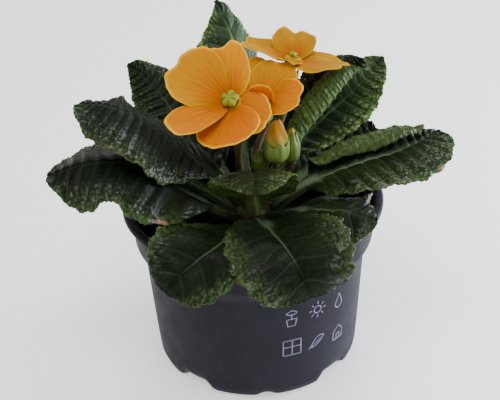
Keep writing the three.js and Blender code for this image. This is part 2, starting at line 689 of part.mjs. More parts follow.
function makeBud(bud) {
  const base = vector(bud.base);
  const axis = vector(bud.tip).sub(base);
  const length = axis.length();
  axis.normalize();
  const cupHeight = length * (1 - bud.showing);
  const toothHeight = Math.min(2, cupHeight * 0.18);
  const mouth = bud.girth * 0.94;
  const cup = placed(calyx(bud.girth, cupHeight - toothHeight, toothHeight, BUD_WALL, mouth), base, axis);
  const middle = base.clone().add(vector([...bud.foot, CROWN_TOP])).multiplyScalar(0.5);
  const sway = middle.addScaledVector(axis, -1).toArray();
  const stalk = flowerStalk(bud.foot, sway, base.clone().addScaledVector(axis, 0.8), axis);
  addNode(bud.name + "_calyx", cup.add(stalk).subtract(crownSeat), MATERIALS.stalk);

  const inner = mouth - BUD_WALL - 2 * SEAT;
  const twisted = (x, y, z) => {
    const turn = Math.atan2(y, x) + 0.1 * Math.max(0, z - cupHeight);
    const fold = 1 + 0.09 * Math.cos(5 * turn);
    return [x * fold, y * fold, z];
  };
  const petals = turned(
    [
      [0, 1.2 + SEAT],
      [0.5, 1.2 + SEAT],
      [inner * 0.8, cupHeight * 0.4],
      [inner, cupHeight * 0.8],
      [inner * 1.08, cupHeight + (length - cupHeight) * 0.2],
      [inner * 0.66, cupHeight + (length - cupHeight) * 0.62],
      [0, length],
    ],
    15,
    twisted,
  );
  addNode(bud.name + "_petals", placed(petals, base, axis), MATERIALS.petal);
}

makePot();
makeSoil();
addNode("crown", crown, MATERIALS.crown);
LEAVES.forEach(makeLeaf);
BLOOMS.forEach(makeBloom);
BUDS.forEach(makeBud);

export default plant;
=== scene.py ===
"""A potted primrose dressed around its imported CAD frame.

Sizes are millimetres until piece() turns them into Blender's metres. +Z is up and -Y is the front.
Each CAD node gives way to a finer mesh that follows the same formula. Four things differ from the
CAD's values: leaf_right rolls later and tighter, the leaves' ribs follow their side veins, one petal
of the front bloom is turned a little, and the calyces of the closed buds cover more of the petals.
"""
import math
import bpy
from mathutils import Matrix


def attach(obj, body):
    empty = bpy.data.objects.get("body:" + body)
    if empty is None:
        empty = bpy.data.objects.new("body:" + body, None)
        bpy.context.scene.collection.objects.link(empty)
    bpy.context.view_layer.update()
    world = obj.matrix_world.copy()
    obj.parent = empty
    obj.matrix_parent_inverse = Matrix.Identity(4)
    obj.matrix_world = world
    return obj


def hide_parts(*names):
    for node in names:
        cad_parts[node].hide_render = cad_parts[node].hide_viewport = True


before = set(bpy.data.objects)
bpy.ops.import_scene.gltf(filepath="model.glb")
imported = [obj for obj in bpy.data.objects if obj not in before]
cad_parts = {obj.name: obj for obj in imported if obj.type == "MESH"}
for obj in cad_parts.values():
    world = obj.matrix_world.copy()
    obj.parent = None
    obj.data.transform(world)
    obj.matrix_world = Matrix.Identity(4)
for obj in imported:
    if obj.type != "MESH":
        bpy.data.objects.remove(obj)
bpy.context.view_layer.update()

from types import SimpleNamespace

import bpy
import numpy as np
from mathutils import Matrix, Vector

MM = 0.001
BODY = "root"
TURN = 2 * math.pi

# ---- Camera: where the photographer stood, in mm and degrees ----
CAMERA_TARGET = (-1.1, 0.0, 69.9)
CAMERA_DISTANCE = 640
CAMERA_ELEVATION = 31.2
CAMERA_ROLL = -2.3
CAMERA_LENS = 113.8
LIGHT_TARGET = (0, 0, 0.09)  # in metres

# ---- Pot and soil ----
POT_HEIGHT = 72
POT_RIM = 53
POT_FOOT = 41
POT_WALL = 1
STEEP_WALL = 1.7
SHOULDER = 51
COLLAR_STEP = 3
WALL_DRAFT = 0.08
CHANNEL_HEIGHT = 3.6
CHANNEL_TURN = 0.85
CHANNEL_HALF_ANGLE = 0.24
CHANNEL_RINGS = (15, 18.5, 22)
NOTCH_HEIGHT = 1.4
NOTCH_HALF_ANGLE = 0.07
NOTCH_START = 34
DRAIN_HOLE_RADIUS = 3.2
DRAIN_HOLE_RING = 32
SOIL_HEIGHT = 60.5
SOIL_TOP_RINGS = 46
CRUMBS, CRUMB_RING = 420, (12, 47)
SEAT = 0.3
CROWN_FLOOR, CROWN_TOP = 56, 74
CROWN_RADIUS = 8
PRINT_HEIGHT = 0.06
PRINT_STROKE = 0.52

# ---- Leaves ----
STALK_SHARE = 0.12  # the share of a leaf's rows that its stalk takes
STALK_ROWS, BLADE_ROWS, LEAF_COLUMNS = 14, 140, 66
BLADE = 0.55
LEAF_BULK = 0.9  # the blade thickness of the CAD leaves, which these stay inside
STALK_HALF_WIDTH = 2.3
STALK_THICKNESS = 2.8
STALK_FOLD = 20  # degrees
TOOTH_DEPTH = 0.035
NIBBLES, NIBBLE_DEPTH = 3.6, 0.55  # small teeth for each large one
TIP_HALF_WIDTH = 0.8
RIB_HEIGHT = 0.75
FRILL_HEIGHT = 0.4
ROLL_RADIUS = 1.8
CELL = 2.5  # the blisters between a leaf's finest veins
BLISTER_HEIGHT = 0.5
VEIN_WIDTH, VEIN_DEPTH = 0.4, 0.4
MIDRIB_WIDTH, MIDRIB_DEPTH = 0.6, 0.7

# ---- Flowers ----
PETAL = 0.45
PETAL_ROWS, PETAL_COLUMNS = 44, 52
FLOWER_STALK_RADIUS = 1.4
FLOWER_STALK_ROWS = 48
BUD_WALL = 0.7
TUBE_LENGTH = 11
TUBE_RADIUS = 1.5
BLOOM_CALYX = dict(girth=3, height=8, tooth_height=1.6, wall=0.45, mouth=2.9)

# ---- How many sides the round pieces have ----
SIDES = dict(pot=160, hole=32, soil=150, crown=96, stalk=14, calyx=60, throat=40, eye=60, bud=100)

# ---- Colours that several finishes share ----
INNER_BROWN = "14150F"
EDGE_BROWN = "3A2A22"
DEAD_BROWN = "7A5F4C"

# path: foot, two handles and tip of the midrib. face: the way the upper side looks at foot and tip.
# stalk: its share of the length. base, tip: how pointed the blade's two ends are.
# left, right: fold and curl of each half, in degrees. wave: how often, how high, where it starts.
# left_half: how much wider the left half is, and how pointed its tip. nick: where the left margin is
# torn in, how far and how widely. unfold, unroll: how soon folds and rolls begin, and how late they end.
# roll_from: the share of the left half that stays flat before its roll begins.
# veins: its side veins and the ribs between them, as many as its teeth where it isn't given.
# calm: how smooth and dull it is, from 0 to 1. midrib: how pale its midrib is.
# tone, and the tone of its underside: painted light and shade, how much lighter or darker its two sides are
# painted; a tone below 1 paints more shade on the middle than on the margin.
# dead: row, side, length and depth of a dead bit of its margin.
LEAF_DEFAULTS = dict(
    base=0.95, nick=(0.5, 0, 1), unfold=3, unroll=9, roll_from=0, calm=0, midrib=1, tone=1, under_tone=1,
    dead=None, young=False)
LEAVES = {
    "leaf_back_tall": dict(
        path=[(-0.8, 5, 69.5), (-8.4, 20.8, 92.7), (2.8, 34.1, 116.4), (-11.8, 45.6, 137.9)],
        face=[(0, -1, 0.3), (0.1, -1, 0.5)],
        width=37, stalk=0.22, tip=1.07, teeth=10,
        left=(3, -14), right=(-41, -40), wave=(2.5, 0.7, 0.3),
        calm=0.6, veins=7, tone=3.0, midrib=1.1),
    "leaf_back_left": dict(
        path=[(-4.1, 3.5, 69.5), (-25.6, 9.6, 83.2), (-31, 31.4, 107.4), (-48.6, 32.3, 116.9)],
        face=[(0.5, -0.8, 0.5), (0.2, -0.85, 0.5)],
        width=25, stalk=0.2, base=0.79, tip=0.74, teeth=9,
        left=(-4, -33), right=(-16, -32), wave=(3, 0.8, 0.1),
        veins=15, midrib=0.5),
    "leaf_left": dict(
        path=[(-5.2, -0.4, 69.5), (-26.3, 2.8, 94.6), (-44.5, -19.5, 129.3), (-66.6, 0.7, 116.4)],
        face=[(0.7, -0.2, 0.7), (0.05, -0.1, 1)],
        width=47, stalk=0.14, base=1.42, tip=1.03, teeth=10,
        left=(-6, -10), right=(-17, -18), wave=(2.7, 1.9, 0.23),
        calm=0.25, veins=18, tone=0.5, midrib=0.3),
    "leaf_left_low": dict(
        path=[(-6.4, -4, 65.2), (-36, -24.1, 87.8), (-35.4, -24, 116.1), (-78.9, -20.8, 96.8)],
        face=[(0.18, 0.04, 0.97), (0.05, -0.13, 0.96)],
        width=44, stalk=0.18, base=0.86, tip=0.57, teeth=10,
        left=(-14, -25), right=(-11, -15), wave=(2.2, 1.7, 0.47),
        nick=(0.5, 0.2, 0.08), calm=0.55, veins=13, tone=0.65, midrib=0.6,
        dead=(0.24, -1, 0.03, 0.08)),
    "leaf_front_left": dict(
        path=[(-2.6, -7.1, 65.2), (2.7, -17.8, 68.7), (-19.4, -54.1, 84), (-34.7, -55.9, 64.5)],
        face=[(0.1, 0.3, 1), (-0.35, -1, 0.4)],
        width=34.6, stalk=0.22, base=1.15, tip=0.54, teeth=9,
        left=(17, -3), right=(10, -8), wave=(2.5, 0.8, 0.4),
        calm=0.9, veins=5, tone=0.85, midrib=0.8),
    "leaf_front": dict(
        path=[(2.2, -7.2, 65.2), (2.4, -32.9, 80.5), (15.5, -72.3, 91.8), (20, -72.6, 70.8)],
        face=[(0, 0.3, 1), (0.1, -1, 0.3)],
        width=42.8, stalk=0.24, base=0.72, tip=0.33, teeth=10,
        left=(26, -37), right=(18, -9), wave=(3.5, 0.9, 0.7),
        calm=0.75, veins=6, tone=0.9, midrib=0.8),
    "leaf_front_right": dict(
        path=[(5.7, -5, 65.2), (11.8, -7.9, 68.1), (31.4, -42.1, 93.8), (47.1, -39.7, 82.3)],
        face=[(-0.1, 0.2, 1), (0.1, -0.2, 1)],
        width=39, stalk=0.3, base=1, tip=0.8, teeth=8,
        left=(-1, -25), right=(-14, -35), wave=(2.5, 1, 0.1),
        calm=0.45, veins=6, tone=1.1, midrib=0.6),
    "leaf_right": dict(
        path=[(7.6, -0.7, 66), (28.7, -19.4, 99), (65, -11.8, 94.5), (74.6, 7.4, 95.1)],
        face=[(-0.4, -0.3, 0.9), (0.1, -0.15, 1)],
        width=34.5, stalk=0.28, base=0.8, tip=0.56, teeth=10,
        left=(10, 255), right=(2, -9), wave=(2, 1.4, 0.35),
        left_half=(1.2, 1), unroll=4.5, unfold=6, roll_from=0.22,
        tone=1.3, under_tone=0.75, midrib=0.75, veins=13, dead=(0.6, 1, 0.02, 0.1)),
    "leaf_right_tall": dict(
        path=[(6, 0.4, 69.5), (12, 9, 90), (32, 15, 103.5), (46, 20, 121.5)],
        face=[(-0.4, -0.9, 0.2), (-0.5, -0.85, 0.3)],
        width=28, stalk=0.2, tip=0.6, teeth=10,
        left=(0, -14), right=(45, 175), wave=(3, 0.7, 0.5),
        under_tone=1.15, veins=15),
    "leaf_right_back": dict(
        path=[(3.3, 4.2, 69.5), (15.6, 27.5, 83.6), (38.3, 29.7, 93.1), (55.2, 30.8, 116.5)],
        face=[(-0.3, -0.8, 0.5), (-0.2, -0.8, 0.6)],
        width=22, stalk=0.2, base=1.24, tip=0.75, teeth=10,
        left=(-10, -28), right=(6, -12), wave=(3, 0.9, 0.8),
        veins=14, tone=3.8, midrib=0.4),
    "leaf_front_young": dict(
        path=[(0, -6.2, 68.2), (0, -15, 88), (1, -20, 104), (1, -35, 93)],
        face=[(0, 1, 0.4), (0, 0.2, 1)],
        width=31, stalk=0.06, base=0.6, tip=0.5, teeth=8,
        left=(10, -36), right=(8, -36), wave=(1.5, 0.9, 0.6),
        calm=0.4, young=True),
    "leaf_behind_right": dict(
        path=[(6, 4.6, 65.2), (23, 14, 71), (35, 28, 82), (53, 35, 82)],
        face=[(-0.2, -0.2, 1), (0.2, -0.2, 1)],
        width=34, stalk=0.26, tip=0.45, teeth=9,
        left=(-2, -20), right=(2, -22), wave=(2.5, 1.3, 0.6)),
    "leaf_behind": dict(
        path=[(0.8, 7.6, 65.2), (2, 28, 80), (8, 52, 92), (11, 64, 76)],
        face=[(0, -0.3, 1), (0, 0.8, 0.6)],
        width=36, stalk=0.28, tip=0.45, teeth=9,
        left=(0, -22), right=(-2, -26), wave=(3, 1.2, 0.15)),
    "leaf_behind_left": dict(
        path=[(-4.2, 6.3, 65.2), (-17, 26, 78), (-28, 47, 92), (-36, 59, 77)],
        face=[(0.1, -0.3, 1), (-0.3, 0.5, 0.8)],
        width=34, stalk=0.28, tip=0.45, teeth=9,
        left=(0, -24), right=(2, -24), wave=(2.5, 1.3, 0.45)),
    "leaf_far_left": dict(
        path=[(-7.3, 1.8, 65.2), (-28, 9, 78), (-50, 15, 88), (-68, 18, 80)],
        face=[(0.2, -0.1, 1), (-0.2, 0, 1)],
        width=32, stalk=0.28, tip=0.45, teeth=9,
        left=(0, -26), right=(2, -26), wave=(2.5, 1.2, 0.7)),
}

# centre, axis: the middle of the petals and the way they look. foot, sway: where the stalk stands and bends.
# eye: its radius. tone: painted light and shade, how much lighter or darker the petals are painted. warmth:
# how orange those that point down are.
# petals: turn, reach, half the angle across, lift, bend, cup, layer, tilt and depth of the notch of each.
BLOOMS = {
    "bloom_front": dict(
        centre=(-6.2, -19.6, 124.6), axis=(-0.25, -0.54, 0.81), foot=(-2.8, -2), sway=(-5, -5, 94),
        eye=3.7, tone=0.88,
        petals=[
            (144, 25.4, 63, 25, -0.1, 0.18, 2.6, 0, 0.09),
            (91, 20.8, 62, 30, -0.03, 0.02, 0, -0.2, 0.09),
            (-32, 15.1, 78, -10, -0.14, 0, 0, 0.04, 0.09),
            (-94.5, 23.4, 73, 13, 0.13, 0, 0.5, 0.07, 0.09),
            (-144.5, 27.2, 37, 29, -0.02, 0.1, 1.2, 0.1, 0.09)]),
    "bloom_middle": dict(
        centre=(6, -4.4, 117.5), axis=(-0.04, -0.42, 0.91), foot=(0, 0), sway=(3, -1, 96),
        eye=1.2, tone=0.86,
        petals=[
            (117, 21.5, 66, 4, -0.06, 0.1, 0.2, 0, 0.14),
            (65.5, 18, 78, 8, 0, 0.05, 1.4, -0.06, 0.09),
            (-14, 15.6, 78, 19, 0.1, 0, 0.2, 0.05, 0.09),
            (-100, 8.5, 78, 64, 0.28, 0, 1, 0, 0.09),
            (180, 9, 62, 10, 0.05, 0.1, 0, 0, 0.09)]),
    "bloom_back": dict(
        centre=(17.7, 11.9, 125.7), axis=(0.14, 0.17, 0.97), foot=(1.7, 2.9), sway=(9, 2, 95),
        eye=1.8, tone=0.62, warmth=0.2,
        petals=[
            (87, 17.7, 69, 20, 0.1, 0, 1.4, 0, 0.16),
            (9, 22.2, 66, 4, -0.08, 0.14, 0.2, 0, 0.09),
            (-29, 23.6, 66, -3, 0.14, 0, 1, 0, 0.09),
            (-104, 10.8, 64, 15, -0.06, 0.08, 0.2, 0, 0.09),
            (158.5, 22, 62, 13, -0.08, 0.18, 0.6, 0, 0.09)]),
}

# base, tip: the two ends of a bud. foot: where its stalk stands. girth: the radius of its cup.
# showing: the share of it that stands out of the cup. lean: how far the cup's teeth close over it.
BUDS = {
    "bud_opening": dict(
        base=(9.6, -12.5, 95), tip=(10.6, -12.5, 113.5),
        foot=(2.8, -2), girth=5, showing=0.5, lean=0.0),
    "bud_right": dict(
        base=(15.8, -6.5, 91), tip=(16.2, -6.5, 106),
        foot=(3.45, 0.4), girth=3.4, showing=0.1, lean=0.4),
    "bud_small": dict(
        base=(2.9, -9.6, 89), tip=(2.8, -10, 99),
        foot=(0, -3.4), girth=2.8, showing=0.04, lean=0.6),
}


# ---- Small maths ----
def smooth(x):
    """An easing from 0 to 1."""
    x = np.clip(x, 0, 1)
    return x * x * (3 - 2 * x)


def bell(x, width):
    """1 where x is 0, and next to nothing beyond twice the width."""
    return np.exp(-(x / width) ** 2)


def unit(v):
    v = np.asarray(v, float)
    return v / np.linalg.norm(v, axis=-1, keepdims=True)


def polar(angle, radius):
    return radius * math.cos(angle), radius * math.sin(angle)


def lengths_along(track):
    """How far along a track each of its points lies."""
    return np.concatenate([[0], np.cumsum(np.linalg.norm(np.diff(track, axis=0), axis=1))])


def seed_of(name):
    return sum(ord(c) * (i + 7) for i, c in enumerate(name)) % 99991


def cells(x, y, seed):
    """Distances from each point to the nearest and next nearest of one jittered seed per unit square."""
    rng = np.random.default_rng(seed)
    size = 128
    jitter = rng.uniform(0.12, 0.88, (size, size, 2))
    ix = np.floor(x).astype(int)
    iy = np.floor(y).astype(int)
    first = np.full(x.shape, 9.0)
    second = np.full(x.shape, 9.0)
    for dx in (-1, 0, 1):
        for dy in (-1, 0, 1):
            at = jitter[(ix + dx) % size, (iy + dy) % size]
            d = np.hypot(ix + dx + at[..., 0] - x, iy + dy + at[..., 1] - y)
            second = np.minimum(second, np.maximum(first, d))
            first = np.minimum(first, d)
    return first, second


def wander(x, y, seed, size):
    """A soft uneven height from about -1 to 1 that changes over about size."""
    rng = np.random.default_rng(seed)
    total = np.zeros(np.shape(x))
    for _ in range(6):
        angle, phase = rng.uniform(0, TURN, 2)
        pace = TURN / size / rng.uniform(0.7, 1.6)
        total = total + np.sin((x * math.cos(angle) + y * math.sin(angle)) * pace + phase)
    return total / 3.2


# ---- Meshes: a shape is its points, its faces in lists of one size each, and its marks by name ----
def linked(name, data):
    """A new object in the scene."""
    obj = bpy.data.objects.new(name, data)
    bpy.context.scene.collection.objects.link(obj)
    return obj


def piece(name, shape, material, replaces=None):
    """A mesh object from a shape in millimetres that rides on the plant's one body."""
    points, faces, marks = shape
    mesh = bpy.data.meshes.new(name)
    points = np.asarray(points, np.float32).reshape(-1, 3) * MM
    loops = np.concatenate([np.asarray(f, np.int32).ravel() for f in faces])
    sizes = np.concatenate([np.full(len(f), np.shape(f)[1], np.int32) for f in faces])
    starts = np.concatenate([[0], np.cumsum(sizes)[:-1]])
    mesh.vertices.add(len(points))
    mesh.vertices.foreach_set("co", points.ravel())
    mesh.loops.add(len(loops))
    mesh.loops.foreach_set("vertex_index", loops)
    mesh.polygons.add(len(sizes))
    mesh.polygons.foreach_set("loop_start", starts.astype(np.int32))
    mesh.polygons.foreach_set("use_smooth", np.ones(len(sizes), bool))
    mesh.update(calc_edges=True)
    for key, values in marks.items():
        layer = mesh.attributes.new(key, "FLOAT", "POINT")
        layer.data.foreach_set("value", np.asarray(values, np.float32).ravel())
    mesh.validate()
    obj = linked(name, mesh)
    obj.data.materials.append(material)
    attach(obj, BODY)
    if replaces:
        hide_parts(replaces)
    return obj


def grid_faces(rows, columns, start=0, flip=False, wrap=False):
    """Quads over a grid of (rows + 1) rows of points; wrap joins the last column to the first."""
    width = columns if wrap else columns + 1
    i, j = np.meshgrid(np.arange(rows), np.arange(columns), indexing="ij")
    right = (j + 1) % width
    a, b = i * width + j, i * width + right
    c, d = (i + 1) * width + right, (i + 1) * width + j
    order = (a, d, c, b) if flip else (a, b, c, d)
    return np.stack(order, -1).reshape(-1, 4) + start


def closed_faces(rows, sides):
    """Faces of (rows + 1) rings that are closed onto the two points that follow them."""
    k = np.arange(sides)
    following = (k + 1) % sides
    last_ring = rows * sides
    low = last_ring + sides
    return [
        grid_faces(rows, sides, wrap=True),
        np.stack([np.full(sides, low), following, k], -1),
        np.stack([np.full(sides, low + 1), last_ring + k, last_ring + following], -1),
    ]


def sheet(upper, lower, bulge, marks):
    """A thin closed sheet with a rounded edge between two grids of points. marks: its marks on the grid."""
    rows, columns = upper.shape[0] - 1, upper.shape[1] - 1
    grid = (rows + 1, columns + 1)
    count = grid[0] * grid[1]
    ids = np.arange(count).reshape(grid)
    ring = np.concatenate([ids[0, :-1], ids[:-1, -1], ids[-1, :0:-1], ids[:0:-1, 0]])
    middle = ((upper + lower) / 2).reshape(-1, 3)
    inner = middle.reshape(*grid, 3)
    beside = np.concatenate([inner[1, :-1], inner[:-1, -2], inner[-2, :0:-1], inner[:0:-1, 1]])
    edge = middle[ring] + unit(middle[ring] - beside + 1e-9) * bulge
    rim = 2 * count + np.arange(len(ring))
    next_ring, next_rim = np.roll(ring, -1), np.roll(rim, -1)
    points = np.concatenate([upper.reshape(-1, 3), lower.reshape(-1, 3), edge])
    faces = np.concatenate([
        grid_faces(rows, columns),
        grid_faces(rows, columns, count, flip=True),
        np.stack([ring, rim, next_rim, next_ring], -1),
        np.stack([rim, ring + count, next_ring + count, next_rim], -1),
    ])
    spread = {}
    for key, values in marks.items():
        flat = np.broadcast_to(values, grid).ravel()
        spread[key] = np.concatenate([flat, flat, flat[ring]])
    return points, [faces], spread


def merged(parts):
    """Joins several shapes into one."""
    points, faces, marks, start = [], [], {}, 0
    for part_points, part_faces, part_marks in parts:
        points.append(part_points)
        faces.extend(np.asarray(f) + start for f in part_faces)
        for key, values in part_marks.items():
            marks.setdefault(key, []).append(values)
        start += len(part_points)
    return np.concatenate(points), faces, {key: np.concatenate(values) for key, values in marks.items()}


def lathe(profile, sides, warp=None):
    """Points and faces of a solid turned about +Z from (radius, height) points, the ends on the axis."""
    inner = np.asarray(profile[1:-1], float)
    angle = np.arange(sides) * TURN / sides
    radius = inner[:, :1]
    x, y = radius * np.cos(angle), radius * np.sin(angle)
    z = np.repeat(inner[:, 1:], sides, 1)
    ends = [np.array([0, 0, profile[k][1]], float) for k in (0, -1)]
    if warp:
        x, y, z = warp(x, y, z)
        ends = [np.array([float(value) for value in warp(*end)]) for end in ends]
    points = np.concatenate([np.stack([x, y, z], -1).reshape(-1, 3), ends])
    return points, closed_faces(len(inner) - 1, sides)


def placed(shape, place, axis):
    """A shape that was built about +Z, turned to an axis and moved to a place."""
    points, faces, marks = shape
    turn = Vector((0, 0, 1)).rotation_difference(Vector(axis)).to_matrix()
    return np.asarray(points) @ np.array(turn).T + np.asarray(place), faces, marks


def rounded(profile, passes=2):
    """Cuts the corners of a profile, its two ends apart, into smooth bends."""
    p = np.asarray(profile, float)
    for _ in range(passes):
        a, b = p[:-1], p[1:]
        cut = np.stack([0.75 * a + 0.25 * b, 0.25 * a + 0.75 * b], 1).reshape(-1, 2)
        p = np.concatenate([p[:1], cut[1:-1], p[-1:]])
    return p


def fill_in(profile, step):
    """Adds points to a profile so that none are further apart than step."""
    out = [profile[0]]
    for a, b in zip(profile, profile[1:]):
        count = max(1, math.ceil(math.dist(a, b) / step))
        out.extend(tuple(np.array(a) + (np.array(b) - np.array(a)) * k / count) for k in range(1, count + 1))
    return out


# ---- Materials: noise and cells are given per mm, and a mark is one of a piece's own values ----
class Finish:
    """A node material built step by step around one Principled shader."""

    def __init__(self, name, roughness, **sockets):
        self.material = bpy.data.materials.new(name)
        self.material.use_nodes = True
        self.tree = self.material.node_tree
        self.shader = self.tree.nodes["Principled BSDF"]
        self.shader.inputs["Roughness"].default_value = roughness
        for key, value in sockets.items():
            self.shader.inputs[key.replace("_", " ")].default_value = value
        self.place = self.node("ShaderNodeTexCoord").outputs["Object"]

    def node(self, kind, **settings):
        made = self.tree.nodes.new(kind)
        for key, value in settings.items():
            setattr(made, key, value)
        return made

    def feed(self, socket, value):
        if isinstance(value, bpy.types.NodeSocket):
            self.tree.links.new(value, socket)
        else:
            socket.default_value = value

    def made(self, output, kind, inputs, **settings):
        """The output of a new node whose inputs, by name or number, are fed."""
        node = self.node(kind, **settings)
        for key, value in inputs.items():
            self.feed(node.inputs[key], value)
        return node.outputs[output]

    def mark(self, name):
        return self.node("ShaderNodeAttribute", attribute_name=name).outputs["Fac"]

    def noise(self, per_mm, detail=3, roughness=0.55, stretch=(1, 1, 1)):
        place = self.made("Vector", "ShaderNodeMapping", {"Vector": self.place, "Scale": stretch})
        inputs = {"Vector": place, "Scale": per_mm / MM, "Detail": detail, "Roughness": roughness}
        return self.made("Fac", "ShaderNodeTexNoise", inputs)

    def cells(self, per_mm):
        return self.made("Distance", "ShaderNodeTexVoronoi", {"Vector": self.place, "Scale": per_mm / MM})

    def span(self, value, low, high, to_low=0.0, to_high=1.0):
        """value, moved from the range low to high into another range and held inside it."""
        inputs = {"Value": value, "From Min": low, "From Max": high, "To Min": to_low, "To Max": to_high}
        return self.made("Result", "ShaderNodeMapRange", inputs)

    def times(self, a, b):
        return self.made("Value", "ShaderNodeMath", {0: a, 1: b}, operation="MULTIPLY")

    def plus(self, a, b):
        return self.made("Value", "ShaderNodeMath", {0: a, 1: b}, operation="ADD")

    def mix(self, factor, a, b):
        """A colour between a and b, each a socket or a hex code."""
        a, b = (rgb(c) if isinstance(c, str) else c for c in (a, b))
        return self.made(2, "ShaderNodeMix", {0: factor, 6: a, 7: b}, data_type="RGBA")

    def lighten(self, colour, factor):
        return self.made("Color", "ShaderNodeHueSaturation", {"Color": colour, "Value": factor})

    def bump(self, height, distance, strength=1.0):
        inputs = {"Strength": strength, "Distance": distance * MM, "Height": height}
        self.set("Normal", self.made("Normal", "ShaderNodeBump", inputs))

    def set(self, socket, value):
        self.feed(self.shader.inputs[socket], value)

    def colour(self, value):
        self.set("Base Color", value)


def rgb(hex_code):
    """A linear colour from an sRGB hex code."""
    channels = [int(hex_code[i:i + 2], 16) / 255 for i in (0, 2, 4)]
    return tuple(c / 12.92 if c <= 0.04045 else ((c + 0.055) / 1.055) ** 2.4 for c in channels) + (1.0,)


def leaf_finish(name, deep, mid, light, margin, vein, under):
    f = Finish(name, 0.36)
    edge, outer = f.mark("edge"), f.mark("outer")
    broad = f.span(f.noise(0.09, 2), 0.35, 0.65)
    fine = f.span(f.noise(0.6, 3), 0.35, 0.65)
    tone = f.mix(broad, deep, mid)
    # brownish patches along the middle
    inner = f.times(f.span(outer, 0.7, 0.1), f.span(f.noise(0.07, 2), 0.4, 0.65))
    tone = f.mix(f.times(inner, 0.5), tone, INNER_BROWN)
    # painted highlight and painted shade: blister crests painted lighter and the valleys between them darker,
    # most of all near the margin
    crest_highlight = f.times(f.span(f.mark("puff"), 0.35, 1), f.span(outer, 0.1, 1, 0.1, 0.8))
    tone = f.mix(f.times(crest_highlight, fine), tone, light)
    tone = f.mix(f.times(f.mark("groove"), f.span(outer, 0, 1, 0.25, 0.3)), tone, deep)
    # the margin, its brown rim, and the pale veins
    tone = f.mix(f.times(f.span(edge, 0.8, 0.98, 0, 0.55), fine), tone, margin)
    tone = f.mix(f.span(edge, 0.98, 0.998, 0, 0.5), tone, EDGE_BROWN)
    tone = f.mix(f.mark("vein"), tone, vein)
    # painted light and shade: each leaf's upper side made lighter or darker by its tone
    tone = f.lighten(tone, f.mark("tone"))
    # the underside
    # painted highlight: the underside's blister crests painted lighter
    below = f.mix(f.span(f.mark("puff"), 0.2, 1), under, margin)
    below = f.mix(f.times(broad, 0.5), below, under)
    below = f.mix(f.times(f.mark("ridge"), 0.5), below, vein)
    # painted light and shade: each leaf's underside made lighter or darker by its own tone
    tone = f.mix(f.mark("under"), tone, f.lighten(below, f.mark("under_tone")))
    f.colour(f.mix(f.span(f.mark("dead"), 0.3, 0.7), tone, DEAD_BROWN))
    # wet-looking blisters on a duller blade
    gloss = f.times(f.mark("gloss"), f.span(f.mark("under"), 0, 1, 1, 0.55))
    f.set("Specular IOR Level", f.span(gloss, 0, 1, 0.06, 0.21))
    polish = f.span(f.noise(0.8, 2), 0.3, 0.7, 0.18, 0.3)
    f.set("Roughness", f.plus(polish, f.span(gloss, 0, 0.8, 0.18, 0)))
    blisters = f.times(f.cells(0.55), f.span(outer, 0.1, 1, 0.1, 0.75))
    grain = f.times(f.noise(1.6, 3), f.span(outer, 0.1, 1, 0.12, 0.2))
    f.bump(f.plus(grain, blisters), 0.32)
    return f.material


def petal_finish():
    f = Finish("petal", 0.6, Specular_IOR_Level=0.04, Subsurface_Weight=0.5, Subsurface_Scale=0.0012,
               Subsurface_Radius=(1.0, 0.55, 0.15))
    along, streaks = f.mark("along"), f.mark("streak")
    tone = f.mix(f.span(f.mark("warm"), 0, 1), "CA9200", "C66C00")
    tone = f.mix(f.span(f.noise(0.12, 2), 0.4, 0.7, 0, 0.35), tone, "CE8800")
    tone = f.mix(f.span(along, 0.7, 0.15, 0, 0.85), tone, "C66400")
    tone = f.mix(f.times(streaks, f.span(along, 0.1, 0.95, 1, 0.2)), tone, "AC4A00")
    tone = f.mix(f.span(along, 0.94, 0.985, 0, 0.9), tone, "ECB410")
    tone = f.mix(f.span(along, 0.16, 0.03), tone, "A8800E")
    # painted light and shade: each bloom's petals made lighter or darker by its tone
    f.colour(f.lighten(tone, f.mark("tone")))
    f.bump(f.plus(streaks, f.times(f.noise(1.6, 3), 0.6)), 0.14)
    return f.material


def bud_finish():
    f = Finish("bud", 0.55, Specular_IOR_Level=0.2)
    along, streaks = f.mark("along"), f.mark("streak")
    tone = f.mix(f.span(f.noise(0.3, 2), 0.35, 0.65), "9A6C00", "846200")
    tone = f.mix(f.span(along, 0.6, 0.38), tone, "868430")
    tone = f.mix(f.times(streaks, 0.8), tone, "9A5A10")
    f.colour(f.mix(f.span(along, 0.77, 0.79), tone, "402008"))
    f.bump(f.plus(streaks, f.times(f.noise(1.6, 3), 0.6)), 0.12, 0.9)
    return f.material


def eye_finish():
    f = Finish("eye", 0.5, Specular_IOR_Level=0.3)
    tone = f.mix(f.span(f.noise(0.5, 3), 0.35, 0.7), "90901C", "7C8220")
    # painted shade: the furrows darker
    tone = f.mix(f.span(f.mark("streak"), 0.3, 1, 0, 0.85), tone, "465214")
    # painted highlight: the middle of the eye lighter
    f.colour(f.mix(f.span(f.mark("along"), 0.35, 0.0, 0, 0.6), tone, "9C9C32"))
    f.bump(f.noise(1.8, 3), 0.2)
    return f.material


def stalk_finish():
    f = Finish("stalk", 0.5, Specular_IOR_Level=0.35)
    stem = f.mix(f.span(f.noise(0.2, 3, stretch=(1, 1, 0.3)), 0.35, 0.65), "583A2A", "545030")
    stem = f.mix(f.span(f.noise(0.9, 3), 0.5, 0.8, 0, 0.3), stem, "6E6638")
    cup = f.mix(f.mark("ridge"), "667A2C", "48602A")
    cup = f.mix(f.span(f.noise(0.35, 2), 0.4, 0.7, 0, 0.6), cup, "4E6A2A")
    f.colour(f.mix(f.mark("cup"), stem, cup))
    f.bump(f.noise(2.4, 4), 0.14)
    return f.material


def crown_finish():
    f = Finish("crown", 0.6)
    f.colour(f.mix(f.span(f.noise(0.4, 4, stretch=(1, 1, 0.25)), 0.35, 0.7), "565C34", "6C6038"))
    f.bump(f.noise(1.2, 4, stretch=(1, 1, 0.3)), 0.35)
    return f.material


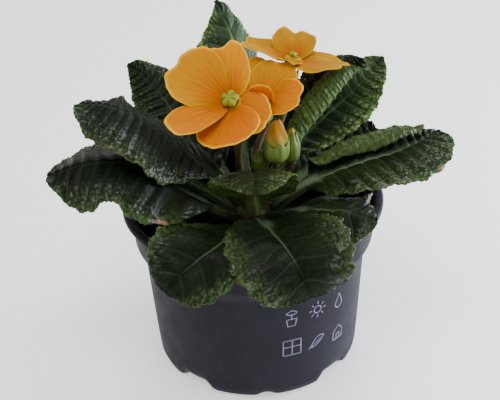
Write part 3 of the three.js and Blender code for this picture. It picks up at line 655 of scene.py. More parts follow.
def soil_finish():
    f = Finish("soil", 0.92, Specular_IOR_Level=0.1)
    tone = f.mix(f.span(f.noise(0.5, 5, 0.7), 0.35, 0.7), "0C0A08", "221A15")
    f.colour(f.mix(f.span(f.cells(0.7), 0.0, 0.35, 0.5, 0), tone, "30241A"))
    f.bump(f.plus(f.noise(1.6, 5, 0.7), f.cells(1.1)), 0.5)
    return f.material


def pot_finish():
    f = Finish("pot", 0.5, Specular_IOR_Level=0.06)
    tone = f.mix(f.span(f.noise(0.02, 3), 0.35, 0.65), "222127", "2A2932")
    tone = f.mix(f.span(f.noise(0.35, 5, 0.7, (1, 1, 0.35)), 0.56, 0.78, 0, 0.35), tone, "383742")
    # painted shade: the inside of the wall painted darker and bluer than the outside
    f.colour(f.mix(f.span(f.mark("inside"), 0, 1, 0, 0.85), tone, "1A1C2C"))
    f.set("Roughness", f.span(f.noise(0.12, 4), 0.3, 0.7, 0.44, 0.58))
    f.bump(f.plus(f.noise(0.05, 3), f.times(f.noise(2.5, 3), 0.06)), 0.5, 0.5)
    return f.material


def print_finish():
    f = Finish("print", 0.5)
    f.colour(f.mix(f.span(f.noise(0.6, 3), 0.3, 0.7), "5E5E76", "76768E"))
    return f.material


LEAF = leaf_finish(
    "leaf", deep="0D160D", mid="192612", light="405229", margin="4C672E", vein="6C8262", under="354420")
YOUNG_LEAF = leaf_finish(
    "young_leaf", deep="1E2814", mid="2E3C1E", light="4A602C", margin="5C7A30", vein="8A965E", under="3E4E24")
PETALS = petal_finish()
BUD_PETALS = bud_finish()
EYE = eye_finish()
STALK = stalk_finish()
CROWN = crown_finish()
SOIL = soil_finish()
POT = pot_finish()
PRINT = print_finish()


# ---- Leaves ----
def bezier(points, samples=400):
    """A cubic Bezier measured along its length: a function from shares to places and tangents."""
    p = np.array(points, float)
    steps = np.linspace(0, 1, samples + 1)

    def place(t):
        return (1 - t) ** 3 * p[0] + 3 * (1 - t) ** 2 * t * p[1] + 3 * (1 - t) * t ** 2 * p[2] + t ** 3 * p[3]

    length = lengths_along(place(steps[:, None]))

    def at(share):
        t = np.interp(share * length[-1], length, steps)[:, None]
        tangent = (1 - t) ** 2 * (p[1] - p[0]) + 2 * (1 - t) * t * (p[2] - p[1]) + t ** 2 * (p[3] - p[2])
        return place(t), unit(tangent)

    return at, length[-1]


def blade_shape(v, rise, tip):
    """A blade's half width along v, 1 where it is widest. rise, tip: how pointed its two ends are."""
    widest = rise / (rise + tip)
    return v ** rise * (1 - v) ** tip / (widest ** rise * (1 - widest) ** tip)


def leaf_grid(name, values):
    """A leaf's values and its grid: rows from foot to tip, columns from left to right.

    u is the share of the whole length, v the share of the blade, s runs from -1 to 1 across, out is how
    far from the midrib that is, and opened goes from 0 on the stalk to 1 on the blade.
    """
    own_defaults = dict(veins=values["teeth"], left_half=(1, values["tip"]))
    leaf = SimpleNamespace(**{**LEAF_DEFAULTS, **own_defaults, **values})
    leaf.seed = seed_of(name)
    stalk_rows = np.linspace(0, STALK_SHARE, STALK_ROWS + 1)[:-1]
    q = np.concatenate([stalk_rows, np.linspace(STALK_SHARE, 1, BLADE_ROWS + 1)])[:, None]
    leaf.s = np.linspace(-1, 1, LEAF_COLUMNS + 1)[None, :]
    leaf.side = np.where(leaf.s < 0, -1, 1)
    leaf.out = np.abs(leaf.s)
    leaf.v = np.clip((q - STALK_SHARE) / (1 - STALK_SHARE), 0, 1)
    leaf.in_blade = 1 - (1 - leaf.v) ** 1.5
    on_stalk = leaf.stalk * q / STALK_SHARE
    leaf.u = np.where(q < STALK_SHARE, on_stalk, leaf.stalk + (1 - leaf.stalk) * leaf.in_blade)
    leaf.opened = smooth(leaf.in_blade * leaf.unfold)
    return leaf


def leaf_axes(leaf):
    """Row by row, the place on the midrib, the way to the right and the way that the upper side looks."""
    at, leaf.length = bezier(leaf.path)
    place, tangent = at(leaf.u[:, 0])
    ends = unit(leaf.face)
    face = ends[0] + (ends[1] - ends[0]) * leaf.u
    right = unit(np.cross(tangent, face))
    normal = np.cross(right, tangent)
    return place[:, None], right[:, None], normal[:, None]


def leaf_outline(leaf):
    """How wide each half of the leaf is, with its large teeth, its nick and its small teeth."""
    v, s, opened = leaf.v, leaf.s, leaf.opened
    tooth = 1 + TOOTH_DEPTH * opened * leaf.out * np.cos(TURN * leaf.teeth * v)
    pace = NIBBLES * leaf.teeth * v + 0.35 * wander(v * 40, leaf.side * 9.0, leaf.seed + 3, 9)
    nibble = np.abs(np.sin(math.pi * pace)) - 0.55
    wider, left_tip = leaf.left_half
    left_blade = wider * blade_shape(leaf.in_blade, leaf.base, left_tip)
    right_blade = blade_shape(leaf.in_blade, leaf.base, leaf.tip)
    blade = leaf.width / 2 * np.where(s < 0, left_blade, right_blade) * tooth
    half = np.maximum(STALK_HALF_WIDTH * (1 - leaf.in_blade ** 3) + blade, TIP_HALF_WIDTH)
    nick_at, depth, span = leaf.nick
    half = half * np.where(s < 0, 1 - depth * bell(v - nick_at, span), 1)
    return half + NIBBLE_DEPTH * nibble * opened * leaf.out ** 8 * smooth(half / 5)


def leaf_bend(leaf, half):
    """How far beside and above the midrib each point comes, and the angle that the leaf is bent to there."""
    halves = np.where(leaf.s[..., None] < 0, np.array(leaf.left), np.array(leaf.right))
    before_tip = smooth((1 - leaf.in_blade) * leaf.unroll)
    fold = np.radians(halves[..., 0] * leaf.opened * before_tip + STALK_FOLD * (1 - leaf.opened))
    flat = np.where(leaf.s < 0, leaf.roll_from, 0)
    rolled = 1 - flat
    tightest = half * rolled / ROLL_RADIUS
    curl = np.clip(np.radians(halves[..., 1] * leaf.opened * before_tip + 1e-3), -tightest, tightest)
    angle = fold + curl * np.clip((leaf.out - flat) / rolled, 0, 1)
    flat_part = np.minimum(leaf.out, flat)
    across = half * (rolled * (np.sin(angle) - np.sin(fold)) / curl + flat_part * np.cos(fold))
    rise = half * (rolled * (np.cos(fold) - np.cos(angle)) / curl + flat_part * np.sin(fold))
    return across, rise, angle


def leaf_waves(leaf):
    """The heights of the broad waves, of the ribs between the side veins and of the margin's frill."""
    v, out, side, broad = leaf.v, leaf.out, leaf.side, leaf.broad
    waves, height, phase = leaf.wave
    ruffle = height * out ** 2 * broad * np.sin(TURN * (waves * v + phase + 0.3 * side))
    swell = RIB_HEIGHT * (1 - 0.85 * leaf.calm) * broad * np.sin(math.pi * np.clip(out, 0, 1)) ** 0.7
    ribs = swell * min(1, leaf.teeth / leaf.veins) * np.cos(TURN * (leaf.veins * v - out))
    frill = FRILL_HEIGHT * broad * out ** 4 * wander(v * 90, side * 5.0, leaf.seed + 6, 7)
    return ruffle + ribs + frill


def add_pattern(leaf):
    """Adds where a leaf's blisters, side veins, midrib trough and rougher outer parts are, from 0 to 1."""
    v, out, b = leaf.v, leaf.out, leaf.b
    vein = leaf.veins * v - out + 0.08 * wander(b, v * 60, leaf.seed + 1, 14)
    mean_band = leaf.length * (1 - leaf.stalk) / leaf.veins
    band = mean_band * 1.5 * np.sqrt(np.maximum(1 - v, 0.02))
    from_vein = np.abs(vein - np.floor(vein) - 0.5) * band
    groove = bell(from_vein, VEIN_WIDTH) * (1 - 0.6 * out ** 4)
    leaf.trough = bell(b, MIDRIB_WIDTH)
    along, across = vein * mean_band / CELL, b / CELL + 40 * (leaf.s < 0)
    first, second = cells(along + 50, across + 50, leaf.seed)
    gap = np.clip((second - first) / 0.42, 0, 1)
    puff = gap * (2 - gap) * (1 - 0.35 * first ** 2)
    leaf.puff = puff * (1 - groove) * (1 - leaf.trough) * leaf.broad
    leaf.groove = groove * leaf.broad
    leaf.outer = smooth((out + 0.4 * v - 0.35 - 0.3 * leaf.calm) / 0.6)


def leaf_relief(leaf):
    """How far the blisters stand up, and the veins and the midrib lie deep, in the upper side."""
    rough = 1 - 0.7 * leaf.calm
    relief = (0.16 * rough + BLISTER_HEIGHT * leaf.outer) * leaf.puff - VEIN_DEPTH * rough * leaf.groove
    relief = relief + 0.4 * leaf.broad * wander(leaf.b * leaf.side, leaf.v * 70, leaf.seed + 5, 16)
    return relief - MIDRIB_DEPTH * leaf.trough * leaf.opened


def leaf_underside(leaf):
    """How far the round stalk, the midrib and the side veins stand out below the blade."""
    rib = (STALK_THICKNESS - LEAF_BULK) * (1 - leaf.u) + (1 - leaf.opened) * 0.7
    stem_rib = rib * np.sqrt(np.clip(1 - leaf.out ** 2, 0, 1))
    blade_rib = rib * bell(leaf.b, 1.5) + 0.34 * leaf.groove
    return stem_rib * (1 - leaf.opened) + blade_rib * leaf.opened


def dead_spot(leaf):
    """Where a leaf has died back at its margin: 1 there, 0 elsewhere."""
    if leaf.dead is None:
        return 0.0
    row, side, length, depth = leaf.dead
    return bell(np.hypot((leaf.v - row) / length, (leaf.s - side) / depth), 1)


def leaf_marks(leaf):
    """What the leaf's material reads at each point, all but which side it is on."""
    calm, opened, outer = leaf.calm, leaf.opened, leaf.outer
    midrib_line = bell(leaf.b, 0.4) * smooth((0.75 - leaf.v) / 0.45) * opened
    on_stalk = np.exp(-(leaf.b / 2.5) ** 4) * (1 - opened) * min(1, leaf.midrib)
    side_vein = leaf.groove ** 2.5 * (0.16 - 0.05 * calm)
    return dict(
        # puff marks the blister crests that the leaf material paints lighter, groove the valleys that it
        # paints with shade
        puff=leaf.puff,
        groove=np.clip(1 - leaf.puff - leaf.trough, 0, 1) * leaf.broad,
        edge=leaf.out * opened,
        outer=outer * opened,
        gloss=(1 - calm) * (0.12 + 0.88 * outer) + 0.65 * calm * outer,
        vein=np.clip(0.75 * leaf.midrib * midrib_line + side_vein + on_stalk, 0, 1),
        ridge=np.clip(0.6 * leaf.groove + leaf.trough + on_stalk, 0, 1),
        dead=dead_spot(leaf),
        # painted light and shade for the two sides of each leaf, on its blade only
        tone=1 + (leaf.tone - 1) * opened * (1 - 0.7 * outer * (leaf.tone < 1)),
        under_tone=1 + (leaf.under_tone - 1) * opened,
    )


def make_leaf(name, values):
    leaf = leaf_grid(name, values)
    place, right, normal = leaf_axes(leaf)
    half = leaf_outline(leaf)
    leaf.b = half * leaf.out
    leaf.broad = leaf.opened * smooth(half / 7)
    across, rise, angle = leaf_bend(leaf, half)
    rise = rise + leaf_waves(leaf)
    add_pattern(leaf)
    relief = leaf_relief(leaf)
    middle = place + right * (leaf.side * across)[..., None] + normal * rise[..., None]
    outward = normal * np.cos(angle)[..., None] - right * (leaf.side * np.sin(angle))[..., None]
    upper = middle + outward * (BLADE / 2 + relief)[..., None]
    lower = middle - outward * (BLADE / 2 - relief * 0.8 + leaf_underside(leaf))[..., None]
    points, faces, marks = sheet(upper, lower, BLADE * 0.4, leaf_marks(leaf))
    count = upper[..., 0].size
    marks["under"] = np.full(len(points), 0.5)
    marks["under"][:count] = 0
    marks["under"][count:2 * count] = 1
    material, slot = (YOUNG_LEAF, "young_leaf") if leaf.young else (LEAF, "leaf")
    piece(name + "_blade", (points, faces, marks), material, name)


# ---- Stalks and calyces ----
def tube(track, sides, radius):
    """Points and faces of a closed tube along a list of places."""
    track = np.asarray(track, float)
    tangent = unit(np.gradient(track, axis=0))
    across = unit(np.cross(tangent[0], (0.3, 0.9, 0.1)))
    turn = np.arange(sides) * TURN / sides
    points = []
    for centre, way, r in zip(track, tangent, radius):
        across = unit(across - way * np.dot(across, way))
        beside = np.cross(way, across)
        points.append(centre + r * (np.cos(turn)[:, None] * across + np.sin(turn)[:, None] * beside))
    points = np.concatenate(points + [track[:1], track[-1:]])
    return points, closed_faces(len(track) - 1, sides)


def between(t, low, high, first, second):
    """The value at t on the line from first, at low, to second, at high."""
    return (high - t) / (high - low) * first + (t - low) / (high - low) * second


def spline(knots, steps):
    """A centripetal Catmull-Rom curve through the knots, evened out along its length."""
    p = np.asarray(knots, float)
    p = np.concatenate([[2 * p[0] - p[1]], p, [2 * p[-1] - p[-2]]])
    track = []
    for a, b, c, d in zip(p[:-3], p[1:-2], p[2:-1], p[3:]):
        t1 = np.linalg.norm(b - a) ** 0.5
        t2 = t1 + np.linalg.norm(c - b) ** 0.5
        t3 = t2 + np.linalg.norm(d - c) ** 0.5
        t = np.linspace(t1, t2, 24, endpoint=False)[:, None]
        bc = between(t, t1, t2, b, c)
        before = between(t, 0, t2, between(t, 0, t1, a, b), bc)
        after = between(t, t1, t3, bc, between(t, t2, t3, c, d))
        track.append(between(t, t1, t2, before, after))
    track = np.concatenate(track + [p[-2:-1]])
    length = lengths_along(track)
    share = np.linspace(0, length[-1], steps + 1)
    return np.stack([np.interp(share, length, track[:, k]) for k in range(3)], -1)


def flower_stalk(foot, sway, top, axis):
    """A tapering stalk from its foot in the crown, past sway, to top, which it reaches along the axis."""
    start = (*foot, CROWN_TOP - 1.0)
    track = spline([start, sway, np.asarray(top) - 4 * np.asarray(axis), top], FLOWER_STALK_ROWS)
    radius = FLOWER_STALK_RADIUS * (1.15 - 0.2 * np.linspace(0, 1, len(track)))
    points, faces = tube(track, SIDES["stalk"], radius)
    zeros = np.zeros(len(points))
    return points, faces, dict(cup=zeros, ridge=zeros)


def calyx(girth, height, tooth_height, wall, mouth, lean=0.0):
    """A ribbed cup with five teeth about +Z, open at the top. lean: how far its teeth close over it."""
    outside = [(0, 0), (FLOWER_STALK_RADIUS + 0.3, 0), (girth * 0.6, 0.3), (girth * 0.85, 1.1)]
    for t in np.linspace(0.15, 1, 12):
        radius = girth + (mouth - girth) * max(0, t - 0.5) * 2 - girth * 0.1 * (1 - t) ** 3
        outside.append((radius, 1.2 + (height - 1.2) * t))
    inside = [(r - wall, z) for r, z in outside[:3:-1]]
    profile = outside + inside + [(girth * 0.7 - wall, 1.3), (0, 1.25)]

    def ribbed(x, y, z):
        angle = np.arctan2(y, x)
        rib = 1 + 0.055 * np.cos(5 * angle) + 0.012 * np.cos(15 * angle)
        high = smooth((z / height - 0.6) / 0.4)
        rib = rib * (1 - lean * high)
        return x * rib, y * rib, z + tooth_height * high * (2 * np.abs(np.cos(2.5 * angle)) ** 1.2 - 1)

    points, faces = lathe(profile, SIDES["calyx"], ribbed)
    ridge = np.clip(np.cos(5 * np.arctan2(points[:, 1], points[:, 0])), 0, 1) ** 6
    return points, faces, dict(cup=np.ones(len(points)), ridge=ridge)


def make_calyx(name, node, cup, place, axis, stalk):
    piece(name, merged([placed(cup, place, axis), stalk]), STALK, node)


# ---- Blooms ----
def make_petal(bloom, axes, petal):
    """One petal: a thin sheet over a fan of rays from the middle of the bloom."""
    turn, reach, spread, lift, bend, cup, layer, tilt, depth = petal
    right, up, axis = axes
    r = np.linspace(0, 1, PETAL_ROWS + 1)[:, None]
    wide = math.radians(spread)
    alpha = np.linspace(1, -1, PETAL_COLUMNS + 1)[None, :] * wide * 0.94
    outline = np.cos(alpha * math.pi / 2 / wide) ** 0.55
    notch = 1 - depth * bell(alpha, 0.16)
    scallop = 1 + 0.018 * np.cos(9 * alpha + turn) + 0.006 * np.cos(31 * alpha + 2 * turn)
    distance = 1 + (reach * outline * notch * scallop - 1) * r
    along, aside = distance * np.cos(alpha), distance * np.sin(alpha)
    far = along / reach
    ripple = 0.7 * r ** 3 * np.sin(4.5 * alpha + turn) + 0.3 * r ** 4 * np.sin(13 * alpha + 3 * turn)
    streak = np.abs(np.sin(17 * alpha + 0.5 * np.sin(5 * r + turn)))
    streak = (1 - streak) ** 3 * smooth(r * 4) * (1 - 0.5 * r)
    channel = -0.35 * bell(alpha, 0.07) * smooth(r * 3) * (1 - 0.6 * r)
    height = (
        along * math.tan(math.radians(lift)) * np.minimum(1, 0.55 + far)
        + bend * reach * far ** 2
        + cup * aside ** 2 / 10
        + tilt * aside
        + layer * smooth(far * 3)
        + ripple + channel - 0.1 * streak
    )
    angle = math.radians(turn)
    outwards = right * math.cos(angle) + up * math.sin(angle)
    sideways = np.cross(axis, outwards)
    middle = (
        np.asarray(bloom["centre"], float) + outwards * along[..., None]
        + sideways * aside[..., None] + axis * height[..., None]
    )
    half_thickness = axis * ((PETAL / 2) * (1 - 0.5 * r ** 3))[..., None]
    low = 0.5 - 0.5 * math.sin(angle)
    marks = dict(along=r, streak=streak, warm=low * bloom.get("warmth", 1), tone=bloom["tone"])
    return sheet(middle + half_thickness, middle - half_thickness, PETAL * 0.3, marks)


def throat(centre, axis):
    """The tube under the petals."""
    points, faces = lathe(rounded([
        (0, -TUBE_LENGTH), (TUBE_RADIUS, -TUBE_LENGTH), (TUBE_RADIUS, -3.5), (TUBE_RADIUS + 1, -1),
        (3.6, 0.4), (3.2, 1.6), (2.4, 1.5), (0, 0.9)]), SIDES["throat"])
    zeros = np.zeros(len(points))
    marks = dict(along=zeros + 0.02, streak=zeros, warm=zeros, tone=zeros + 1)
    return placed((points, faces, marks), centre, axis)


def eye(r, centre, axis):
    """The lobed button in the throat, with five furrows."""
    low = 1.6 + SEAT
    profile = rounded([
        (0, low), (r * 0.45, low), (r * 0.8, low + 0.2 * r), (r, low + 0.5 * r), (r * 0.9, low + 0.8 * r),
        (r * 0.55, low + r), (r * 0.2, low + 0.96 * r), (0, low + 0.85 * r)], 3)

    def furrow(x, y):
        return np.abs(np.cos(2.5 * np.arctan2(y, x) + math.pi / 2)) ** 8

    def lobed(x, y, z):
        lobe = 0.94 + 0.08 * np.cos(5 * np.arctan2(y, x))
        depth = 0.16 * r * furrow(x, y) * smooth((z - low) / r - 0.4)
        return x * lobe, y * lobe, z - depth * smooth(3 * np.hypot(x, y) / r)

    points, faces = lathe(profile, SIDES["eye"], lobed)
    x, y = points[:, 0], points[:, 1]
    # streak marks the furrows, painted with shade by the eye material; along runs out from the middle,
    # painted lighter there
    return placed((points, faces, dict(along=np.hypot(x, y) / r, streak=furrow(x, y))), centre, axis)


def make_bloom(name, bloom):
    axis = unit(bloom["axis"])
    right = unit(np.array([1.0, 0, 0]) - axis * axis[0])
    up = np.cross(axis, right)
    centre = np.asarray(bloom["centre"], float)
    petals = [make_petal(bloom, (right, up, axis), petal) for petal in bloom["petals"]]
    piece(name + "_petals", merged(petals + [throat(centre, axis)]), PETALS, name + "_corolla")
    piece(name + "_centre", eye(bloom["eye"], centre, axis), EYE, name + "_eye")
    cup_floor = centre + axis * (-TUBE_LENGTH - SEAT - 1.2)
    stalk = flower_stalk(bloom["foot"], bloom["sway"], cup_floor + axis * 0.8, axis)
    make_calyx(name + "_calyx", name + "_stalk", calyx(**BLOOM_CALYX), cup_floor, axis, stalk)


# ---- Buds ----
def furled(length, cup_height, inner, lean):
    """The folded petals of a bud about +Z. inner: how wide the cup is inside. lean: as in the calyx."""
    rest = length - cup_height
    width = 1 - 1.1 * lean
    above_cup = [(1.12, 0.03), (1.08, 0.3), (0.74, 0.64), (0.28, 0.94)]
    profile = rounded([
        (0, 1.2 + SEAT), (0.5, 1.2 + SEAT), (inner * 0.8, cup_height * 0.4),
        (inner * (1 - lean), cup_height * 0.75),
        *((inner * wide * width, cup_height + rest * high) for wide, high in above_cup),
        (0, length)], 3)

    def turn_at(x, y, z):
        return np.arctan2(y, x) + 0.1 * np.maximum(0, z - cup_height)

    def twisted(x, y, z):
        turn = turn_at(x, y, z)
        lap = (turn * 5 / TURN) % 1
        fold = 1 + 0.07 * np.cos(5 * turn) + 0.06 * (lap - 0.5) * smooth((z - cup_height * 0.8) / 2)
        return x * fold, y * fold, z

    points, faces = lathe(profile, SIDES["bud"], twisted)
    x, y, z = points.T
    ripe = 0.8 if lean == 0 else 0.42  # how far up its colours a bud gets: closed ones stay green
    along = np.clip(z / length, 0, 1) * ripe
    streak = (1 - np.abs(np.sin(2.5 * turn_at(x, y, z)))) ** 3
    return points, faces, dict(along=along, streak=streak)


def make_bud(name, bud):
    base = np.asarray(bud["base"], float)
    axis = np.asarray(bud["tip"], float) - base
    length = float(np.linalg.norm(axis))
    axis = axis / length
    lean = bud["lean"]
    cup_height = length * (1 - bud["showing"])
    tooth = 0.6 * min(2, cup_height * 0.18)
    mouth = bud["girth"] * 0.94
    sway = (base + np.array([*bud["foot"], CROWN_TOP])) / 2 - axis
    stalk = flower_stalk(bud["foot"], sway, base + axis * 0.8, axis)
    cup = calyx(bud["girth"], cup_height - tooth, tooth, 0.5, mouth, lean)
    make_calyx(name + "_cup", name + "_calyx", cup, base, axis, stalk)
    petals = furled(length, cup_height, mouth - BUD_WALL - SEAT, lean)
    piece(name + "_furled", placed(petals, base, axis), BUD_PETALS, name + "_petals")


# ---- Pot, soil and crown ----
def from_channel(angle, offset):
    """How far an angle is from the nearest of four directions: the channels, or an offset from them."""
    quarter = TURN / 4
    turn = (angle - CHANNEL_TURN - offset) % quarter
    return np.minimum(turn, quarter - turn)


def floor_lift(x, y):
    """How far the channels and notches lift the pot's floor."""
    angle, radius = np.arctan2(y, x), np.hypot(x, y)
    channel = CHANNEL_HEIGHT * smooth((CHANNEL_HALF_ANGLE - from_channel(angle, 0)) / 0.12)
    notch = NOTCH_HEIGHT * smooth((NOTCH_HALF_ANGLE + 0.05 - from_channel(angle, TURN / 8)) / 0.1)
    rising = smooth((radius - CHANNEL_RINGS[0]) / (CHANNEL_RINGS[2] + 1 - CHANNEL_RINGS[0]))
    return channel * rising + notch * smooth((radius - NOTCH_START) / 4)


def lift_floor(x, y, z):
    return x, y, z + floor_lift(x, y) * (1 - smooth((z - 2) / 10))


def wall_radius(z):
    return POT_FOOT + WALL_DRAFT * z


def collar_radius(z):
    return wall_radius(z) + COLLAR_STEP


def pot_profile():
    """Radii and heights of the pot's wall, up its outside and down its inside."""
    shoulder_top = SHOULDER + 5
    rim_under = POT_HEIGHT - 2.2
    outside = [
        (0, 0), (CHANNEL_RINGS[0], 0), (30, 0), (POT_FOOT - 4, 0), (POT_FOOT - 1.2, 1.3),
        (POT_FOOT + 0.2, 4.5), (wall_radius(14), 14), (wall_radius(SHOULDER), SHOULDER),
        (collar_radius(shoulder_top), shoulder_top),
        (collar_radius(rim_under), rim_under), (POT_RIM - 0.9, rim_under - 0.7), (POT_RIM, rim_under + 0.2),
        (POT_RIM - 0.7, POT_HEIGHT - 0.5), (POT_RIM - 2, POT_HEIGHT)]
    inside = [
        (collar_radius(POT_HEIGHT) - POT_WALL, POT_HEIGHT - 0.6),
        (collar_radius(shoulder_top) - POT_WALL, shoulder_top + 0.4),
        (wall_radius(SHOULDER) - POT_WALL, SHOULDER + 0.6), (wall_radius(14) - POT_WALL, 14),
        (POT_FOOT + 0.2 - POT_WALL, 5), (POT_FOOT - 2, 2.1), (POT_FOOT - 4.4, POT_WALL), (30, POT_WALL + 0.2),
        (CHANNEL_RINGS[2], STEEP_WALL), (CHANNEL_RINGS[1], STEEP_WALL), (CHANNEL_RINGS[0], POT_WALL),
        (0, POT_WALL)]
    return rounded(fill_in(outside + inside, 3.0), 1)


def make_pot():
    profile = pot_profile()
    points, faces = lathe(profile, SIDES["pot"], lift_floor)
    rows = np.repeat(np.arange(len(profile) - 2), SIDES["pot"])
    # inside: where the wall turns down into the pot, painted with shade by the pot material
    inside_from = int(np.argmax(profile[1:-1, 1]))
    inside = np.concatenate([smooth((rows - inside_from) / 3), [0, 1]])
    pot = piece("pot_body", (points, faces, dict(inside=inside)), POT, "pot")
    drill = [(0, -2), (DRAIN_HOLE_RADIUS, -2), (DRAIN_HOLE_RADIUS, 10), (0, 10)]
    for k in range(4):
        cut = lathe(drill, SIDES["hole"])
        drill_hole(pot, cut, (*polar(CHANNEL_TURN + k * TURN / 4, DRAIN_HOLE_RING), 0))


def drill_hole(target, cut, place):
    """Cuts a shape out of a piece, at a place in mm."""
    points, faces = cut
    mesh = bpy.data.meshes.new("drill")
    moved = (np.asarray(points) + np.asarray(place)) * MM
    mesh.from_pydata(moved.tolist(), [], [list(map(int, f)) for group in faces for f in group])
    drill = linked("drill", mesh)
    bpy.context.view_layer.update()
    modifier = target.modifiers.new("hole", "BOOLEAN")
    modifier.operation = "DIFFERENCE"
    modifier.solver = "EXACT"
    modifier.object = drill
    with bpy.context.temp_override(object=target, active_object=target, selected_objects=[target]):
        bpy.ops.object.modifier_apply(modifier=modifier.name)
    bpy.data.objects.remove(drill)


def soil_bump(x, y):
    """The broad unevenness of the soil's top."""
    return 0.5 * np.sin(0.42 * x + 1.3) * np.cos(0.37 * y + 0.4) + 0.35 * np.sin(0.83 * x - 0.71 * y + 2.1)


def soil_profile():
    """Radii and heights of the soil: up along the pot, in over its top and down round the crown."""
    def side(z):
        return wall_radius(z) - POT_WALL - SEAT

    shoulder_top = SHOULDER + 6
    collar = POT_WALL + 2 * SEAT
    profile = [
        (0, POT_WALL + SEAT), (CHANNEL_RINGS[0] - 3, POT_WALL + SEAT),
        (CHANNEL_RINGS[0], POT_WALL + 2 * SEAT),
        (CHANNEL_RINGS[1], STEEP_WALL + 4 * SEAT), (CHANNEL_RINGS[2], STEEP_WALL + 4 * SEAT),
        (30, POT_WALL + 4 * SEAT), (POT_FOOT - 4.9, POT_WALL + 2 * SEAT), (POT_FOOT - 2.8, 3),
        (POT_FOOT - POT_WALL - SEAT, 5.5), (side(14), 14), (side(SHOULDER), SHOULDER + 0.8),
        (collar_radius(shoulder_top) - collar, shoulder_top),
        (collar_radius(SOIL_HEIGHT) - collar, SOIL_HEIGHT)]
    hole = CROWN_RADIUS + 0.3 + SEAT + 0.2
    top = np.linspace(collar_radius(SOIL_HEIGHT) - collar - 0.6, hole, SOIL_TOP_RINGS)
    return profile + [(r, SOIL_HEIGHT) for r in top] + [(hole, CROWN_FLOOR + 0.2), (0, CROWN_FLOOR + 0.2)]


def make_soil():
    def uneven(x, y, z):
        x, y, z = lift_floor(x, y, z)
        top = (z > SOIL_HEIGHT - 0.01) * 1.0
        rough = 0.45 * wander(x, y, 11, 5) + 0.3 * wander(x, y, 12, 2.2)
        return x, y, z + top * (soil_bump(x, y) + rough)

    rng = np.random.default_rng(31)
    parts = [(*lathe(soil_profile(), SIDES["soil"], uneven), {})]
    for _ in range(CRUMBS):
        radius = math.sqrt(rng.uniform(*(r ** 2 for r in CRUMB_RING)))
        turn = rng.uniform(0, TURN)
        size = rng.uniform(0.5, 1.5)
        crumb, crumb_faces = lathe([(0, -1), (0.75, -0.6), (1, 0.1), (0.6, 0.8), (0, 1)], 7)
        crumb = crumb * rng.uniform(0.6, 1.1, 3) * size + rng.uniform(-0.12, 0.12, crumb.shape) * size
        x, y = polar(turn, radius)
        place = np.array([x, y, SOIL_HEIGHT + float(soil_bump(x, y)) + 0.2 * size])
        parts.append((crumb + place, crumb_faces, {}))
    piece("potting_mix", merged(parts), SOIL, "soil")


def make_crown():
    profile = rounded([
        (0, CROWN_FLOOR), (CROWN_RADIUS - 2, CROWN_FLOOR), (CROWN_RADIUS, 59), (CROWN_RADIUS + 0.3, 64),
        (CROWN_RADIUS - 0.8, 68), (CROWN_RADIUS - 2.4, 71), (CROWN_RADIUS - 4, CROWN_TOP - 0.6),
        (0, CROWN_TOP)], 3)

    def sheathed(x, y, z):
        swell = 1 + 0.05 * np.cos(9 * np.arctan2(y, x) + 0.25 * z) - 0.04
        return x * swell, y * swell, z

    piece("crown_body", (*lathe(profile, SIDES["crown"], sheathed), {}), CROWN, "crown")


# ---- Signs printed on the pot: each is a list of strokes inside a square from -1 to 1 ----
def arc(cx, cy, r, a0=0, a1=360, steps=20):
    """Points on a circle between two angles in degrees."""
    around = [polar(math.radians(a), r) for a in np.linspace(a0, a1, steps + 1)]
    return [(cx + x, cy + y) for x, y in around]


def sun():
    return [arc(0, 0, 0.4)] + [[polar(a, 0.62), polar(a, 0.95)] for a in np.arange(8) * TURN / 8]


def drop():
    belly = arc(0, -0.25, 0.5, 150, 390, 22)
    return [belly + [(0, 0.95), belly[0]]]


def leaf_icon():
    upper = [(-0.8 + 1.6 * t, 0.55 * math.sin(math.pi * t) - 0.5 + t) for t in np.linspace(0, 1, 14)]
    lower = [(-0.8 + 1.6 * t, -0.35 * math.sin(math.pi * t) - 0.5 + t) for t in np.linspace(1, 0, 14)]
    return [upper + lower, [(-0.95, -0.62), (0.45, 0.28)]]


def sprout():
    pot = [(-0.5, -0.1), (-0.36, -0.9), (0.36, -0.9), (0.5, -0.1), (-0.5, -0.1)]
    stem = [(0, -0.1), (0, 0.5)]
    left = [(-0.6 * math.sin(math.pi * t) * (1 - 0.3 * t), 0.35 + 0.55 * t) for t in np.linspace(0, 1, 10)]
    return [pot, stem, left, [(-x, y) for x, y in left]]


def window_icon():
    border = [(-0.85, -0.85), (0.85, -0.85), (0.85, 0.85), (-0.85, 0.85), (-0.85, -0.85)]
    return [border, [(0, -0.85), (0, 0.85)], [(-0.85, 0.1), (0.85, 0.1)]]


def house():
    walls = [(-0.7, -0.85), (-0.7, 0.15), (0, 0.85), (0.7, 0.15), (0.7, -0.85), (-0.7, -0.85)]
    door = [(-0.2, -0.85), (-0.2, -0.2), (0.25, -0.2), (0.25, -0.85)]
    return [walls, door]


# icon, degrees round the pot, height and half size in mm
PRINTS = [
    (sprout, -72.5, 40.5, 4.3), (sun, -57.5, 41.0, 4.2), (drop, -42.5, 39.5, 4.0),
    (window_icon, -72.0, 25.5, 4.4), (leaf_icon, -57.0, 24.5, 4.2), (house, -41.5, 23.5, 4.0),
]


def on_wall(u, w, angle, height):
    """The place on the pot's wall that is u mm to the right of an angle and w mm above a height."""
    z = height + w
    radius = wall_radius(z) + PRINT_HEIGHT
    return (*polar(math.radians(angle) + u / radius, radius), z)


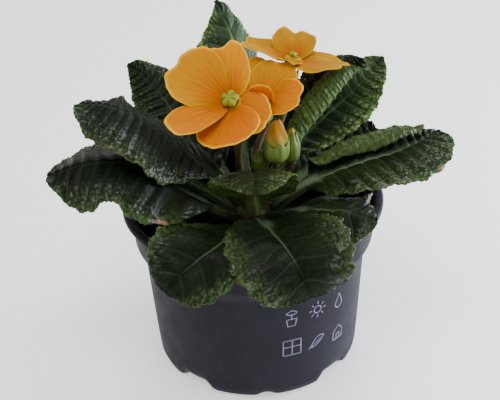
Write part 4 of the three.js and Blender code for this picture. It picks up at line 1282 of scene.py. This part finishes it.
def print_stroke(stroke, angle, height, size):
    """One stroke of a sign as a thin strip on the pot's wall."""
    track = np.array(fill_in([(x * size, y * size) for x, y in stroke], 0.6))
    way = unit(np.gradient(track, axis=0) + 1e-9)
    beside = np.stack([-way[:, 1], way[:, 0]], -1) * PRINT_STROKE / 2
    rows = [[on_wall(*p, angle, height) for p in track + side * beside] for side in (1, -1)]
    top = np.array(rows).transpose(1, 0, 2)
    sunk = top * np.array([0.998, 0.998, 1])
    return sheet(sunk, top, 0.0, {})


def make_prints():
    strips = [print_stroke(stroke, *where) for icon, *where in PRINTS for stroke in icon()]
    piece("pot_prints", merged(strips), PRINT)


# ---- Stage ----
def make_stage():
    glow = dict(Emission_Color=(1, 1, 1, 1), Emission_Strength=0.7)
    f = Finish("studio_floor", 0.85, Specular_IOR_Level=0.1, **glow)
    f.colour(f.mix(f.noise(0.004, 2), "F2F2F2", "EFEFF0"))
    mesh = bpy.data.meshes.new("studio_floor")
    size = 30.0
    corners = [(-size, -size, 0), (size, -size, 0), (size, size, 0), (-size, size, 0)]
    mesh.from_pydata(corners, [], [(0, 1, 2, 3)])
    floor = linked("studio_floor", mesh)
    floor.data.materials.append(f.material)


def area_light(name, place, size, power, colour):
    """A round lamp that looks at the middle of the plant. Its place is in metres."""
    data = bpy.data.lights.new(name, "AREA")
    data.shape = "DISK"
    data.size = size
    data.energy = power
    data.color = colour
    light = linked(name, data)
    light.location = Vector(place)
    light.rotation_euler = (Vector(LIGHT_TARGET) - Vector(place)).to_track_quat("-Z", "Y").to_euler()


def make_light():
    world = bpy.data.worlds.new("studio")
    bpy.context.scene.world = world
    world.use_nodes = True
    background = world.node_tree.nodes["Background"]
    background.inputs["Color"].default_value = (1.0, 0.99, 0.96, 1.0)
    background.inputs["Strength"].default_value = 0.6
    area_light("key", (-0.05, -0.42, 0.95), 0.5, 6.8, (1.0, 0.98, 0.94))
    area_light("side", (0.6, 0.12, 0.16), 0.4, 8.6, (0.8, 0.86, 1.0))
    area_light("back", (0.1, 0.7, 0.8), 0.5, 4.0, (0.95, 0.97, 1.0))


def make_camera():
    data = bpy.data.cameras.new("camera")
    data.sensor_width = 36
    data.lens = CAMERA_LENS
    data.clip_start = 0.05
    data.clip_end = 100
    camera = linked("camera", data)
    elevation, roll = math.radians(CAMERA_ELEVATION), math.radians(CAMERA_ROLL)
    back = Vector((0, -math.cos(elevation), math.sin(elevation)))
    level = Vector((1, 0, 0))
    up = Vector((0, math.sin(elevation), math.cos(elevation)))
    right = math.cos(roll) * level + math.sin(roll) * up
    over = math.cos(roll) * up - math.sin(roll) * level
    matrix = Matrix((right, over, back)).transposed().to_4x4()
    matrix.translation = (Vector(CAMERA_TARGET) + back * CAMERA_DISTANCE) * MM
    camera.matrix_world = matrix
    bpy.context.scene.camera = camera


make_camera()
make_light()
make_stage()
make_pot()
make_prints()
make_soil()
make_crown()
for make, table in ((make_leaf, LEAVES), (make_bloom, BLOOMS), (make_bud, BUDS)):
    for piece_name, piece_values in table.items():
        make(piece_name, piece_values)
